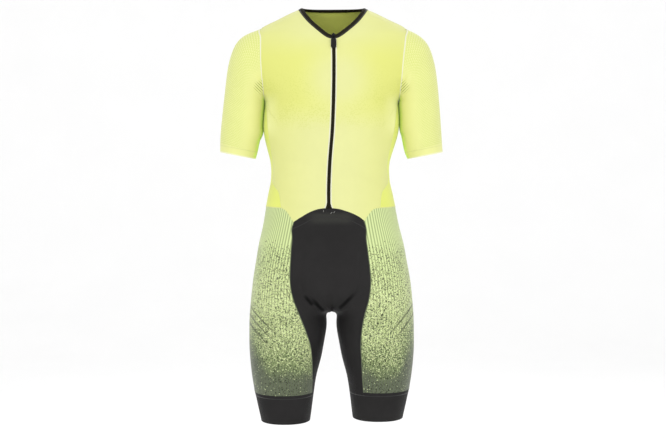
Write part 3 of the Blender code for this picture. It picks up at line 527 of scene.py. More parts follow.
def place(side, around, height):
    """A point of the suit, in millimetres."""
    x, y = half_point(around, height)
    return (SIDES[side] * x + lean(height), y, height)


def place_flat(x, height, face):
    """A point seen from the front or from behind; x is a true position, not a distance."""
    return (x, depth_at(x - lean(height), height, face), height)


def from_centre(side, distance, height):
    """True x of a point that lies this far from the leaning centre-front line."""
    return centre_front(height) + SIDES[side] * distance


def to_half(side, x, height):
    """Distance of a true x from the leaning middle line, outwards on its side."""
    return SIDES[side] * (x - lean(height))


def from_middle(side, distance, height):
    """Distance from the leaning middle line of a point this far from the leaning centre-front line."""
    return to_half(side, from_centre(side, distance, height), height)


def arounds(side, points):
    """(around, height) of true (x, height) points on the front."""
    return [(around_of(to_half(side, x, h), h, "front"), h) for x, h in points]


def spaced(start, end, count):
    return [start + (end - start) * i / count for i in range(count + 1)]


def coons(top, bottom, left, right):
    """A net of points between four edges. Top and bottom run to the right, left and right downwards."""
    top, bottom, left, right = (np.array(edge, float) for edge in (top, bottom, left, right))
    across = length_shares(top, bottom)
    down = length_shares(left, right)
    net = np.zeros((len(left), len(top), top.shape[1]))
    for i, v in enumerate(down):
        for j, u in enumerate(across):
            ruled = (1 - v) * top[j] + v * bottom[j] + (1 - u) * left[i] + u * right[i]
            high, low = ((1 - u) * edge[0] + u * edge[-1] for edge in (top, bottom))
            net[i, j] = ruled - ((1 - v) * high + v * low)
    return net


def length_shares(one, other):
    """How far along each point lies, the mean of two facing edges."""
    shares = []
    for edge in (one, other):
        steps = np.maximum(np.linalg.norm(np.diff(edge, axis=0), axis=1), 1e-9)
        shares.append(running(steps) / steps.sum())
    return (shares[0] + shares[1]) / 2


def half_net(top, bottom, left, right, origin=0.0):
    """A net on one half of the suit. Edges are lists of (around, height), netted on a plane where around is
    stretched by the half width of the suit at that level, measured from origin."""
    edges = []
    for edge in (top, bottom, left, right):
        edges.append([((a - origin) * section(h)["side"], h) for a, h in edge])
    rows = []
    for row in coons(*edges):
        rows.append([(origin + x / section(h)["side"], h) for x, h in row])
    return rows


def armhole_heights():
    """Levels of the armhole points from its top to its bottom."""
    count = RING_SEGMENTS // 2
    return [ARMHOLE_MIDDLE + ARMHOLE_HALF * math.cos(math.pi * i / count) for i in range(count + 1)]


def side_seam_points():
    """(around, height) down the side seam from the armpit."""
    curve = smooth_curve(SIDE_SEAM, 1)
    lowest = SIDE_SEAM[-1][0]
    heights = [ARMHOLE_BOTTOM, *(row[0] for row in SIDE_SEAM if row[0] not in SIDE_SEAM_SKIPPED), lowest]
    heights = denser(sorted(set(heights), reverse=True))
    start = SIDE_SEAM[0][0]
    points = [(SIDE_FRONT, heights[0])]
    first = around_of(curve(start), start, "front")
    for h in heights[1:]:
        if h > start:
            share = (ARMHOLE_BOTTOM - h) / (ARMHOLE_BOTTOM - start)
            points.append((SIDE_FRONT + (first - SIDE_FRONT) * share, h))
        else:
            points.append((around_of(curve(h), h, "front"), h))
    return points


def shoulder_heights():
    return spaced(NECKLINE[0][1], ARMHOLE_TOP, SHOULDER_SEGMENTS)


def front_bottom(side):
    """(x, height) of a lime front's lower edge from the zip to the side seam."""
    arch = [(from_centre(side, distance, height), height) for distance, height in ARCH_EDGE]
    waist = [(from_centre(side, distance, height), height) for distance, height in WAIST_EDGE[:-1]]
    last_x, last_height = WAIST_EDGE[-1]
    waist.append((lean(last_height) + SIDES[side] * last_x, last_height))
    return denser(arch) + denser(waist)[1:]


def neckline_points(side):
    """(around, height) from the zip to the neck point, one for each point of the front's lower edge."""
    curve = smooth_curve(NECKLINE, 1)
    height = NECKLINE[-1][1]
    start = from_middle(side, ZIP_HALF + SEAM_GAP, height)
    count = (len(ARCH_EDGE) + len(WAIST_EDGE) - 2) * FINE
    points = []
    for x in spaced(start, NECKLINE[0][0], count)[:-1]:
        height = curve(max(x, NECKLINE[-1][0]))
        points.append((around_of(x, height, "front"), height))
    return [*points, (SIDE_FRONT, NECKLINE[0][1])]


def upper_side_points():
    """(around, height) from the neck point along the shoulder seam, the armhole and the side seam."""
    shoulder = [(SIDE_FRONT, h) for h in shoulder_heights()]
    armhole = [(SIDE_FRONT, h) for h in armhole_heights()]
    return shoulder + armhole[1:] + side_seam_points()[1:]


def zip_heights():
    """Levels of the net rows down the zip edge, as many as down the other side of a front."""
    return spaced(NECKLINE[-1][1], ARCH_EDGE[0][1], len(upper_side_points()) - 1)


def front_net(side):
    right = upper_side_points()
    bottom = arounds(side, front_bottom(side))
    left = arounds(side, [(from_centre(side, zip_half(h) + SEAM_GAP, h), h) for h in zip_heights()])
    bottom[0] = left[-1]
    bottom[-1] = right[-1]
    top = neckline_points(side)
    top[0] = left[0]
    net = half_net(top, bottom, left, right)
    points = [[place(side, min(a, SIDE_FRONT), h) for a, h in row] for row in net]
    return Net(f"front_{side}", points)


def zip_half(height):
    """Half width of the black zip line, which flares at its lower end."""
    bottom = ARCH_EDGE[0][1]
    share = max(0.0, 1 - (height - bottom) / ZIP_FLARE_LENGTH)
    return ZIP_HALF + (ZIP_FLARE_HALF - ZIP_HALF) * share**2


def waist_back_points(count):
    """(around, height) of the waist seam from the side-seam corner to the centre back."""
    corner_height = SIDE_SEAM[-1][0]
    start = around_of(SIDE_SEAM[-1][1], corner_height, "front")
    points = []
    for i in range(count + 1):
        share = i / count
        points.append((start + (2 - start) * share, corner_height + (WAIST_BACK - corner_height) * share))
    return points


def back_net():
    """One panel; each half is netted from the centre back to the side, then the two are joined."""
    halves = {}
    for side in SIDES:
        top = [(a, NECKLINE[0][1]) for a in spaced(2.0, 1.0, WAIST_SEGMENTS)]
        right = [(max(a, 1.0) if h > ARMHOLE_BOTTOM else a, h) for a, h in upper_side_points()]
        bottom = list(reversed(waist_back_points(WAIST_SEGMENTS)))
        left = [(2.0, h) for h in spaced(NECKLINE[0][1], WAIST_BACK, len(right) - 1)]
        net = half_net(top, bottom, left, right, origin=2.0)
        points = [[place(side, max(a, 1.0) if h > ARMHOLE_BOTTOM else a, h) for a, h in row] for row in net]
        halves[side] = np.array(points)
    joined = np.concatenate([halves["right"][:, ::-1], halves["left"][:, 1:]], axis=1)
    return Net("back", joined)


def seam_of(face):
    """The table of a leg seam, and the around value of the line down the inner side of the leg."""
    return (FRONT_SEAM, -1.0) if face == "front" else (BACK_SEAM, 3.0)


def seam_around(side, table, face, height):
    """The around value of a leg seam at a level."""
    distance = smooth_curve(table, 1 if side == "right" else 2)(height)
    if face == "front":
        distance = from_middle(side, distance, height)
    return around_of(distance, height, face)


def band_top(side):
    return BAND_TOP + HEM_LIFT[side]


def seam_heights(side, start):
    """Levels down a leg panel from a start to the leg band."""
    return [h for h in LEG_ROWS if h <= start] + spaced(LEG_ROWS[-1], band_top(side), FINE)[1:]


def outer_leg_net(side):
    left = [(seam_around(side, FRONT_SEAM, "front", h), h) for h in seam_heights(side, LEG_ROWS[0])]
    corner = left[0]
    waist = arounds(side, front_bottom(side)[(len(ARCH_EDGE) - 1) * FINE :])
    top = [corner, *waist[1:], *waist_back_points(WAIST_SEGMENTS)[1 : SEAT_CORNER + 1]]
    right = back_seam_points(side)
    bottom = [(a, band_top(side)) for a in spaced(left[-1][0], right[-1][0], len(top) - 1)]
    net = half_net(top, bottom, left, right)
    return Net(f"outer_leg_{side}", [[place(side, a, h) for a, h in row] for row in net])


def back_seam_points(side):
    """As many points as down the front seam, with the same levels from the corner down."""
    above = len([h for h in LEG_ROWS if h >= CORNER])
    first = waist_back_points(WAIST_SEGMENTS)[SEAT_CORNER]
    heights = spaced(first[1], CORNER, above - 1)[1:-1] + seam_heights(side, CORNER)
    return [first] + [(seam_around(side, BACK_SEAM, "back", h), h) for h in heights]


def diagonal_height(index):
    return CORNER + (TIP - CORNER) * (index / DIAGONAL_SEGMENTS) ** 0.8


def crotch_heights():
    """Levels along the middle line from the tip of a centre panel to the lowest point."""
    return [TIP + (CROTCH - TIP) * (i / CROTCH_SEGMENTS) ** 0.5 for i in range(1, CROTCH_SEGMENTS + 1)]


def diagonal(side, face):
    """(around, height) from the corner of the leg seams down to the middle line near the crotch."""
    table, end = seam_of(face)
    points = []
    for i in range(DIAGONAL_SEGMENTS + 1):
        height = diagonal_height(i)
        start = seam_around(side, table, face, height)
        points.append((start + (end - start) * i / DIAGONAL_SEGMENTS, height))
    return points


def inner_leg_net(side):
    """Front and back halves share the line down the inner side of the leg. Each half is netted on a plane
    where share runs from the leg seam (0) to that line (1)."""
    halves = {}
    for face in ("front", "back"):
        table, end = seam_of(face)
        heights = seam_heights(side, CORNER)
        steps = len(heights) - 1
        top = [(i / DIAGONAL_SEGMENTS, diagonal_height(i)) for i in range(DIAGONAL_SEGMENTS + 1)]
        top += [(1.0, h) for h in crotch_heights()]
        bottom = [(share, band_top(side)) for share in spaced(0.0, 1.0, len(top) - 1)]
        edge = [(0.0, h) for h in heights]
        inner = [(1.0, CROTCH + (band_top(side) - CROTCH) * (i / steps) ** 1.5) for i in range(steps + 1)]
        lines = [[(share * INNER_SPAN, h) for share, h in line] for line in (top, bottom, edge, inner)]
        rows = []
        for line in coons(*lines):
            row = []
            for x, h in line:
                start = seam_around(side, table, face, h)
                row.append(place(side, start + (end - start) * x / INNER_SPAN, h))
            rows.append(row)
        halves[face] = np.array(rows)
    joined = np.concatenate([halves["front"], halves["back"][:, ::-1][:, 1:]], axis=1)
    # Both legs meet on the middle line, so each keeps to its own side of it.
    sign = SIDES[side]
    middle = np.array([lean(h) for h in joined[..., 2].ravel()]).reshape(joined.shape[:2])
    offset = sign * (joined[..., 0] - middle)
    joined[..., 0] = middle + sign * np.maximum(offset, LEG_GAP)
    return Net(f"inner_leg_{side}", joined)


def front_view_net(name, top, bottom, left, right, face):
    net = coons(top, bottom, left, right)
    return Net(name, [[place_flat(x, h, face) for x, h in row] for row in net])


def halved(line):
    """The line with a point added in the middle of each of its segments."""
    points = [line[0]]
    for (x, h), (next_x, next_h) in zip(line, line[1:]):
        points += [((x + next_x) / 2, (h + next_h) / 2), (next_x, next_h)]
    return points


def true_x(side, around, height):
    return place(side, around, height)[0], height


def panel_net(face):
    """The black centre panel of the shorts, before or behind."""
    table = FRONT_SEAM if face == "front" else BACK_SEAM
    bottom = [true_x("right", *point) for point in diagonal("right", face)]
    bottom += [true_x("left", *point) for point in reversed(diagonal("left", face)[:-1])]
    if face == "front":
        start = BAND_EDGE[-1][1]
        heights = [h for h in LEG_ROWS if CORNER <= h <= start]
        edge = denser(BAND_EDGE)
        top = [(from_centre("right", x, h), h) for x, h in reversed(edge)]
        top += [(from_centre("left", x, h), h) for x, h in edge[1:]]
    else:
        seat = waist_back_points(WAIST_SEGMENTS)[SEAT_CORNER:]
        line = [true_x("right", *point) for point in seat]
        top = halved(line + [true_x("left", *point) for point in reversed(seat[:-1])])
    edges = {}
    for side in SIDES:
        if face == "front":
            edges[side] = [true_x(side, seam_around(side, table, face, h), h) for h in heights]
        else:
            edges[side] = [true_x(side, a, h) for a, h in back_seam_points(side) if h >= CORNER]
    name = "front_panel" if face == "front" else "seat_panel"
    return front_view_net(name, top, bottom, edges["right"], edges["left"], face)


def arch_net():
    top, bottom = [], []
    outline = denser([(0.0, ARCH_EDGE[0][1] - SEAM_GAP)] + ARCH_EDGE[1:])
    for side, order in (("right", reversed), ("left", lambda rows: list(rows)[1:])):
        top += [(from_centre(side, x, h), h) for x, h in order(outline)]
        bottom += [(from_centre(side, x, h), h) for x, h in order(denser(BAND_EDGE))]
    left, right = denser([top[0], bottom[0]]), denser([top[-1], bottom[-1]])
    return front_view_net("front_arch", top, bottom, left, right, "front")


def gripper_net(side, outer, inner):
    """The leg band hangs from the leg panels and has as many points round as the two together."""
    top = band_top(side)
    start = seam_around(side, FRONT_SEAM, "front", top)
    end = seam_around(side, BACK_SEAM, "back", top)
    half = inner.points.shape[1] // 2
    ring = spaced(start, end, outer.points.shape[1] - 1) + spaced(end, 3.0, half)[1:]
    ring += spaced(-1.0, start, half)[1:-1]
    rows = []
    for height in spaced(top, HEM + HEM_LIFT[side], BAND_ROWS):
        rows.append([place(side, a, height) for a in ring])
    return Net(f"gripper_{side}", rows, wall=BAND_WALL, closed=True)


class Net:
    """Outer points of one cloth piece, row by row, with the directions out of the cloth."""

    def __init__(self, name, points, wall=WALL, closed=False):
        self.name, self.wall, self.closed = name, wall, closed
        self.points = np.array(points, float)
        down = np.gradient(self.points, axis=0)
        if closed:
            across = (np.roll(self.points, -1, axis=1) - np.roll(self.points, 1, axis=1)) / 2
        else:
            across = np.gradient(self.points, axis=1)
        self.normals = unit(np.cross(down, across))

    def edge_index(self):
        rows, columns = self.points.shape[:2]
        keys = [(i, j) for i in (0, rows - 1) for j in range(columns)]
        if not self.closed:
            keys += [(i, j) for j in (0, columns - 1) for i in range(1, rows - 1)]
        return keys


def unit(vectors):
    return vectors / np.maximum(np.linalg.norm(vectors, axis=-1, keepdims=True), 1e-9)


def turn_outwards(net):
    """Sleeves and legs are rings about their own middle, the rest lies round the middle of the suit."""
    centre = np.zeros(3)
    if net.closed:
        centre = net.points.reshape(-1, 3).mean(axis=0)
    elif net.name.startswith(("inner_leg", "outer_leg")):
        centre[0] = LEG_MIDDLE if net.name.endswith("left") else -LEG_MIDDLE
    away = net.points - centre
    away[..., 2] = 0
    if (away * net.normals).sum() < 0:
        net.normals = -net.normals


def share_edge_normals(nets):
    """Gives points where pieces meet one common direction."""
    entries = [(net, key) for net in nets for key in net.edge_index()]
    places = np.array([net.points[key] for net, key in entries])
    directions = np.array([net.normals[key] for net, key in entries])
    order = np.argsort(places[:, 2])
    levels = places[order, 2]
    for index, (net, key) in enumerate(entries):
        low = np.searchsorted(levels, places[index, 2] - SAME_PLACE)
        high = np.searchsorted(levels, places[index, 2] + SAME_PLACE)
        near = order[low:high]
        near = near[np.linalg.norm(places[near] - places[index], axis=1) < SAME_PLACE]
        near = near[directions[near] @ directions[index] > SAME_SIDE]
        net.normals[key] = unit(directions[near].sum(axis=0))


def relax_normals(net, rounds=2):
    """Softens directions inside a piece, so that shading flows over its net."""
    n = net.normals
    for _ in range(rounds):
        inner = n[1:-1, 1:-1] * 2 + n[:-2, 1:-1] + n[2:, 1:-1] + n[1:-1, :-2] + n[1:-1, 2:]
        n[1:-1, 1:-1] = unit(inner)


def smooth_inside(net, rounds=SMOOTHINGS):
    """Evens out the net between its edges, which stay where they are."""
    p = net.points
    for _ in range(rounds):
        if net.closed:
            mean = (p[:-2] + p[2:] + np.roll(p, 1, axis=1)[1:-1] + np.roll(p, -1, axis=1)[1:-1]) / 4
            p[1:-1] = (p[1:-1] + mean) / 2
        else:
            mean = (p[:-2, 1:-1] + p[2:, 1:-1] + p[1:-1, :-2] + p[1:-1, 2:]) / 4
            p[1:-1, 1:-1] = (p[1:-1, 1:-1] + mean) / 2


def pad_offset(points, normals):
    """The seat pad shows through the cloth as a soft swelling with a rounded lower edge."""
    x, z = points[..., 0] - PAD["x"], points[..., 2] - PAD["z"]
    reach = np.hypot(x / PAD["half_width"], np.minimum(z, 0) / PAD["down"])
    inside = 1 / (1 + np.exp(np.clip((reach - 0.9) / PAD["edge"], -30, 30)))
    above = np.clip((PAD["top"] - points[..., 2]) / (PAD["top"] - PAD["z"]), 0, 1)
    return PAD["height"] * inside * above**2 * (3 - 2 * above) * np.clip(-normals[..., 1] * 2, 0, 1)


def crease_offset(points, normals):
    """Millimetres in or out at each point: the creases, a faint ripple everywhere and the seat pad."""
    offset = np.zeros(points.shape[:-1])
    x, y, z = points[..., 0], points[..., 1], points[..., 2]
    for face, rows in CREASES.items():
        way = -normals[..., 1] if face == "front" else normals[..., 1]
        mask = np.clip(way * 2.2 - 0.1, 0, 1)
        for x0, z0, x1, z1, width, height in rows:
            ax, az = x1 - x0, z1 - z0
            length = math.hypot(ax, az)
            along = ((x - x0) * ax + (z - z0) * az) / length**2
            inside = np.clip(along, 0, 1)
            bow = CREASE_BOW * length * np.sin(inside * math.pi)
            across = ((x - x0) * az - (z - z0) * ax) / length + bow
            past = np.maximum(np.abs(along - 0.5) - 0.5, 0) * length
            taper = np.sin(np.clip(inside, 0.02, 0.98) * math.pi) ** 0.7 * np.exp(-((past / width) ** 2))
            beside = (np.abs(across) - CREASE_SIDES["out"] * width) / width
            ridge = np.exp(-((across / width) ** 2)) - CREASE_SIDES["depth"] * np.exp(-(beside**2))
            offset += height * ridge * taper * mask
    ripple = 0.35 * np.sin(x / 31 + 1.3 * np.sin(z / 57)) * np.sin(z / 44 + 0.8 * np.sin(x / 38) + y / 35)
    return offset + ripple + pad_offset(points, normals)


def sleeve_net(side):
    """Rings from the armhole to the cuff, each starting at its inner point and going round by the front."""
    sign = SIDES[side]
    angles = [2 * math.pi * i / RING_SEGMENTS for i in range(RING_SEGMENTS)]
    first = []
    for angle in angles:
        height = ARMHOLE_MIDDLE - ARMHOLE_HALF * math.cos(angle)
        depth = ARMHOLE_FRONT if angle <= math.pi else ARMHOLE_BACK
        x = sign * (section(height)["side"] + SEAM_GAP) + lean(height)
        first.append((x, -depth * math.sin(angle), height))
    rings = [first]
    for inner_x, inner_height, outer_x, outer_height, front, back in SLEEVE_SECTIONS:
        ring = []
        for angle in angles:
            share = (1 + math.cos(angle)) / 2
            depth = front if angle <= math.pi else back
            x = outer_x + (inner_x - outer_x) * share
            height = outer_height + (inner_height - outer_height) * share
            lean_share = 1 - (len(rings) / len(SLEEVE_SECTIONS)) ** 3
            ring.append((sign * x + lean(inner_height) * lean_share, -depth * math.sin(angle), height))
        rings.append(ring)
    flat = [tuple(np.array(ring).ravel()) for ring in rings]
    fine = np.array(denser(flat)).reshape(-1, RING_SEGMENTS, 3)
    return Net(f"sleeve_{side}", fine, closed=True)


def hug(sleeve, torso, side):
    """Brings the inside of a sleeve up to the side of the torso, down to where the two part."""
    sign, low = SIDES[side], HUG_LOW[side]
    x, z = sleeve.points[..., 0] * sign, sleeve.points[..., 2]
    rows = np.arange(len(x))
    inner = x.argmin(axis=1)
    heights, reaches = z[rows, inner], x[rows, inner]
    torso_x, torso_z = (torso.points[..., 0] * sign).ravel(), torso.points[..., 2].ravel()
    sides = np.array([torso_x[np.abs(torso_z - height) < HUG_ROW].max() for height in heights])
    move = np.interp(z, heights[::-1], (reaches - sides - HUG_GAP)[::-1])
    fade = HUG_FADE["low"]
    held = np.clip((z - low + fade) / fade, 0, 1) * np.clip((ARMHOLE_BOTTOM - z) / HUG_FADE["high"], 0, 1)
    facing = np.clip(-sign * sleeve.normals[..., 0] * 1.05, 0, 1) ** 1.5
    sleeve.points[..., 0] -= sign * move * held * facing


def make_mesh(name, vertices, faces, uvs, coat, edges=40):
    """uvs holds one place in metres for each vertex, or is None."""
    mesh = bpy.data.meshes.new(name)
    mesh.from_pydata([tuple(c * MM for c in v) for v in vertices], [], faces)
    mesh.update()
    if uvs is not None:
        layer = mesh.uv_layers.new(name="cloth")
        index = np.empty(len(mesh.loops), np.int64)
        mesh.loops.foreach_get("vertex_index", index)
        layer.data.foreach_set("uv", np.array(uvs, np.float32)[index].ravel())
    mesh.materials.append(coat)
    made = bpy.data.objects.new(name, mesh)
    bpy.context.scene.collection.objects.link(made)
    mesh.shade_smooth()
    mesh.set_sharp_from_angle(angle=math.radians(edges))
    return made


def flat_places(net):
    """Places on the flat cloth in metres, from the mean lengths along rows and columns. A closed net counts
    from its last row."""
    p = net.points
    across = np.linalg.norm(np.diff(p, axis=1), axis=2).mean(axis=0)
    if net.closed:
        across = np.append(across, np.linalg.norm(p[:, 0] - p[:, -1], axis=1).mean())[: p.shape[1] - 1]
    down = np.linalg.norm(np.diff(p, axis=0), axis=2).mean(axis=1)
    u, v = running(across) * MM, running(down) * MM
    if net.closed:
        v = v[-1] - v
    return np.stack(np.meshgrid(u, v), axis=-1).reshape(-1, 2)


def shell(net, coat):
    """A closed thin wall of cloth: the net, the same net moved in, and the rims between them."""
    rows, columns = net.points.shape[:2]
    outer = net.points.reshape(-1, 3)
    inner = (net.points - net.normals * net.wall).reshape(-1, 3)
    count = rows * columns
    last = columns if net.closed else columns - 1
    i, j = np.meshgrid(np.arange(rows - 1), np.arange(last), indexing="ij")
    k = (j + 1) % columns
    a, b, c, d = i * columns + j, i * columns + k, (i + 1) * columns + k, (i + 1) * columns + j
    face_normal = np.cross(outer[b] - outer[a], outer[d] - outer[a])
    flip = (face_normal * net.normals.reshape(-1, 3)[a]).sum() < 0
    quads = np.stack([a, b, c, d], axis=-1).reshape(-1, 4)
    if flip:
        quads = quads[:, ::-1]
    rims = [(r + n, r + (n + 1) % columns, r > 0) for r in (0, count - columns) for n in range(last)]
    if not net.closed:
        for n in (0, columns - 1):
            rims += [(m * columns + n, (m + 1) * columns + n, n == 0) for m in range(rows - 1)]
    faces = quads.tolist() + (quads[:, ::-1] + count).tolist()
    for e, f, turn in rims:
        faces.append([f, e, count + e, count + f] if turn == flip else [e, f, count + f, count + e])
    uvs = np.tile(flat_places(net), (2, 1))
    return make_mesh(f"{net.name}_cloth", np.concatenate([outer, inner]), faces, uvs, coat)


def running(steps):
    """How far along each point lies, from the lengths of the steps between points."""
    return np.concatenate([np.zeros((1, *steps.shape[1:])), np.cumsum(steps, axis=0)])


def sweep(path, sides, outs, profile, closed=False, ring=False):
    """A profile of (across, out) in millimetres carried along a path; ring joins its last point to its
    first. Returns vertices, faces and places on the flat cloth."""
    lengths = running(np.linalg.norm(np.diff(path, axis=0), axis=1))
    vertices, faces, uvs = [], [], []
    for point, side, way, length in zip(path, sides, outs, lengths):
        for across, out in profile:
            vertices.append(point + side * across + way * out)
            uvs.append((length * MM, across * MM))
    width, count = len(profile), len(path)
    for i in range(count if closed else count - 1):
        k = (i + 1) % count
        for j in range(width if ring else width - 1):
            m = (j + 1) % width
            faces.append((i * width + j, k * width + j, k * width + m, i * width + m))
    return vertices, faces, uvs


def bands(name, lines, profile, coat):
    """One piece made of a stitched band along each of the lines."""
    vertices, faces, uvs = [], [], []
    for path, outs, closed in lines:
        path, outs = np.array(path, float), unit(np.array(outs, float))
        onward = np.gradient(path, axis=0)
        if closed:
            onward = np.roll(path, -1, axis=0) - np.roll(path, 1, axis=0)
        start = len(vertices)
        v, f, u = sweep(path, unit(np.cross(outs, unit(onward))), outs, profile, closed)
        vertices += v
        uvs += u
        faces += [tuple(i + start for i in face) for face in f]
    return make_mesh(name, vertices, faces, uvs, coat, edges=60)


class Value:
    """A number, place or colour worked out in a material. Each sum or step of it adds a node there."""

    def __init__(self, socket):
        self.socket = socket

    def node(self, kind, values=(), **settings):
        node = self.socket.node.id_data.nodes.new(f"ShaderNode{kind}")
        for key, value in settings.items():
            setattr(node, key, value)
        fill(node.inputs, values)
        return node

    def maths(self, operation, *others, clamp=False):
        return Value(self.node("Math", (self, *others), operation=operation, use_clamp=clamp).outputs[0])

    def __add__(self, other):
        return self.maths("ADD", other)

    def __sub__(self, other):
        return self.maths("SUBTRACT", other)

    def __mul__(self, other):
        return self.maths("MULTIPLY", other)

    def __lt__(self, other):
        return self.maths("LESS_THAN", other)

    def __abs__(self):
        return self.maths("ABSOLUTE")

    def scaled(self, by, plus):
        return self.maths("MULTIPLY_ADD", by, plus)

    def wave(self, pitch):
        """From -1 to 1 and back over each pitch."""
        return (self * (2 * math.pi / pitch)).maths("SINE")

    def step(self, low, high, bottom=0.0, top=1.0):
        """Runs smoothly from bottom at low to top at high."""
        values = (self, low, high, bottom, top)
        return Value(self.node("MapRange", values, interpolation_type="SMOOTHSTEP").outputs["Result"])

    def band(self, start, full, last, end):
        """1 from full to last, fading to 0 at start and end."""
        return self.step(start, full) * self.step(end, last)

    def axes(self):
        return [Value(socket) for socket in self.node("SeparateXYZ", (self,)).outputs]

    def distance(self, point):
        return Value(self.node("VectorMath", (self, point), operation="DISTANCE").outputs["Value"])

    def texture(self, kind, settings=(), **values):
        """What a texture gives here, by the names of its outputs."""
        node = self.node(f"Tex{kind}", **dict(settings))
        fill([node.inputs["Vector"]], [self])
        fill([node.inputs[key] for key in values], values.values())
        return {socket.name: Value(socket) for socket in node.outputs}


def fill(sockets, values):
    """Links or sets each socket in turn."""
    for socket, value in zip(sockets, values):
        if isinstance(value, Value):
            value.socket.node.id_data.links.new(value.socket, socket)
        else:
            socket.default_value = value


def mix(share, one, two):
    """The first colour with the second over it, by a share from 0 to 1."""
    node = share.node("Mix", data_type="RGBA")
    colours = [socket for socket in node.inputs if socket.type == "RGBA"]
    fill([node.inputs[0], *colours], (share, one, two))
    return Value(next(socket for socket in node.outputs if socket.type == "RGBA"))


def new_coat(name):
    """A material, its shader's sockets, and a point's place on the object and on the flat cloth."""
    coat = bpy.data.materials.new(name)
    coat.use_nodes = True
    nodes = coat.node_tree.nodes
    place = nodes.new("ShaderNodeTexCoord").outputs
    return coat, nodes["Principled BSDF"].inputs, Value(place["Object"]), Value(place["UV"])


def add_relief(shader, height, strength, distance):
    """Shows a height as relief in the light. Returns the socket that takes the height."""
    node = height.node("Bump")
    fill([node.inputs[key] for key in ("Strength", "Distance", "Height")], (strength, distance, height))
    fill([shader["Normal"]], [Value(node.outputs["Normal"])])
    return node.inputs["Height"]


class Knit:
    """A stretch knit: fine ribs on the flat cloth and soft blotches of darker tone, with colours over them.
    """

    def __init__(self, name, colour, dark=0.95, rough=0.72, bump=0.25, sheen=0.25, specular=0.28):
        self.coat, self.shader, self.place, self.flat = new_coat(name)
        looks = {"Roughness": rough, "Sheen Weight": sheen, "Sheen Roughness": 0.5}
        looks |= {"Sheen Tint": (1, 1, 1, 1), "Specular IOR Level": specular}
        fill([self.shader[key] for key in looks], looks.values())
        ribs = self.flat.texture("Wave", Scale=KNIT_SCALE, Distortion=0.6, Detail=1.0)["Fac"]
        upright = {"bands_direction": "Y"}
        self.weave = ribs * self.flat.texture("Wave", upright, Scale=KNIT_SCALE, Distortion=0.4)["Fac"]
        blotch = self.place.texture("Noise", Scale=14, Detail=4, Roughness=0.55)["Fac"]
        tone = self.weave.scaled(0.06, blotch * 0.5)
        self.base = tuple(c * dark for c in colour[:3]) + (1,)
        self.paint(tone.step(0.12, 0.42), colour)
        self.height = add_relief(self.shader, self.weave, bump, 0.0004)

    def paint(self, share, colour):
        """Lays a colour over what is there, by a share from 0 to 1."""
        self.base = mix(share, self.base, colour)
        fill([self.shader["Base Color"]], [self.base])

    def lift(self, height):
        fill([self.height], [height])


def lime_coat():
    """Front panels: pale in the middle and on the belly, stronger and faintly specked across the chest, with
    painted light on the side below the armpit.
    """
    knit = Knit("lime_knit", LIME)
    x, _, z = knit.place.axes()
    out = abs(x)
    knit.paint(out.step(0.02, 0.15, 0.0, 0.45), LIME_STRONG)
    ring = knit.place.distance(CHEST_MIDDLE)
    knit.paint(z.band(*CHEST) * ring.step(0.02, 0.11) * 0.8, LIME_STRONG)
    grains = knit.place.texture("Voronoi", Scale=290)["Distance"]
    noise = knit.place.texture("Noise", Scale=26, Detail=3)["Fac"]
    low = z.band(*CHEST_SPECKS) * ring.step(0.04, 0.09, 0.0, 0.3)
    knit.paint((grains < noise * 0.72) * low, LIME_SPECK)
    # Painted light on the side below the armpit, where the sleeve shades the torso
    knit.paint(z.band(*BELOW_ARMPIT) * out.step(0.112, 0.155, 0.0, 0.9), LIME_PAINTED_LIGHT)
    return knit.coat


def scales(u, v):
    """Staggered rows of small scales: 1 in the hollow between them, 0 on each scale's crown."""
    width, height = SCALE_SIZE
    row = v.maths("DIVIDE", height)
    shift = row.maths("FLOOR").maths("MODULO", 2.0) * 0.5
    across = abs(u.scaled(1 / width, shift).maths("FRACT") - 0.5)
    arc = across.maths("POWER", 2.0).scaled(2.4, row.maths("FRACT"))
    return abs(arc.maths("FRACT") - 0.5)


def sleeve_coat(side):
    """Sleeves: small raised scales over the outer half, plain inside and at the hem, with a pale edge;
    painted light on the inner strip beside the torso and painted shade in the gathers at the armpit.
    """
    knit = Knit(f"sleeve_knit_{side}", SLEEVE)
    u, v, _ = knit.flat.axes()
    x, _, z = knit.place.axes()
    zone = u.band(0.06, 0.1, 0.22, 0.27) * v.step(HEM_ZONE, HEM_ZONE + 0.004)
    sunk = scales(u, v).step(0.14, 0.36) * zone
    knit.paint(zone * 0.12, PALE)
    knit.paint(sunk * 0.75, SLEEVE_SCALE)
    # Painted light: the inner strip beside the torso gets a strong green, brighter than the cloth, against
    # the shade there
    inside = u.step(0.036, 0.008).maths("MAXIMUM", u.step(0.31, 0.345))
    knit.paint(inside * 0.85, SLEEVE_INNER_PAINTED_LIGHT)
    near = knit.place.distance((SIDES[side] * ARMPIT[0], *ARMPIT[1:])).step(0.021, 0.008)
    # Painted shade in the gathers at the armpit; the same lines are sunk as relief
    folds = x.scaled(-SIDES[side], z).wave(math.sqrt(2) * GATHER_PITCH).step(0.1, 0.9) * near
    knit.paint(folds * 0.85, SLEEVE_FOLD_SHADE)
    knit.paint(v.step(EDGE_ZONE + 0.001, EDGE_ZONE) * 0.7, PALE)
    knit.lift(folds.scaled(-3.0, sunk.scaled(-1.4, knit.weave)))
    return knit.coat


def yellow_coat():
    """Back and sides: an open knit with small round holes."""
    knit = Knit("yellow_mesh", YELLOW, dark=0.9)
    hole = knit.flat.texture("Voronoi", Scale=420, Randomness=0.15)["Distance"].step(0.32, 0.2)
    knit.paint(hole * 0.4, YELLOW_DEEP)
    knit.lift(hole.scaled(-1.0, knit.weave))
    return knit.coat


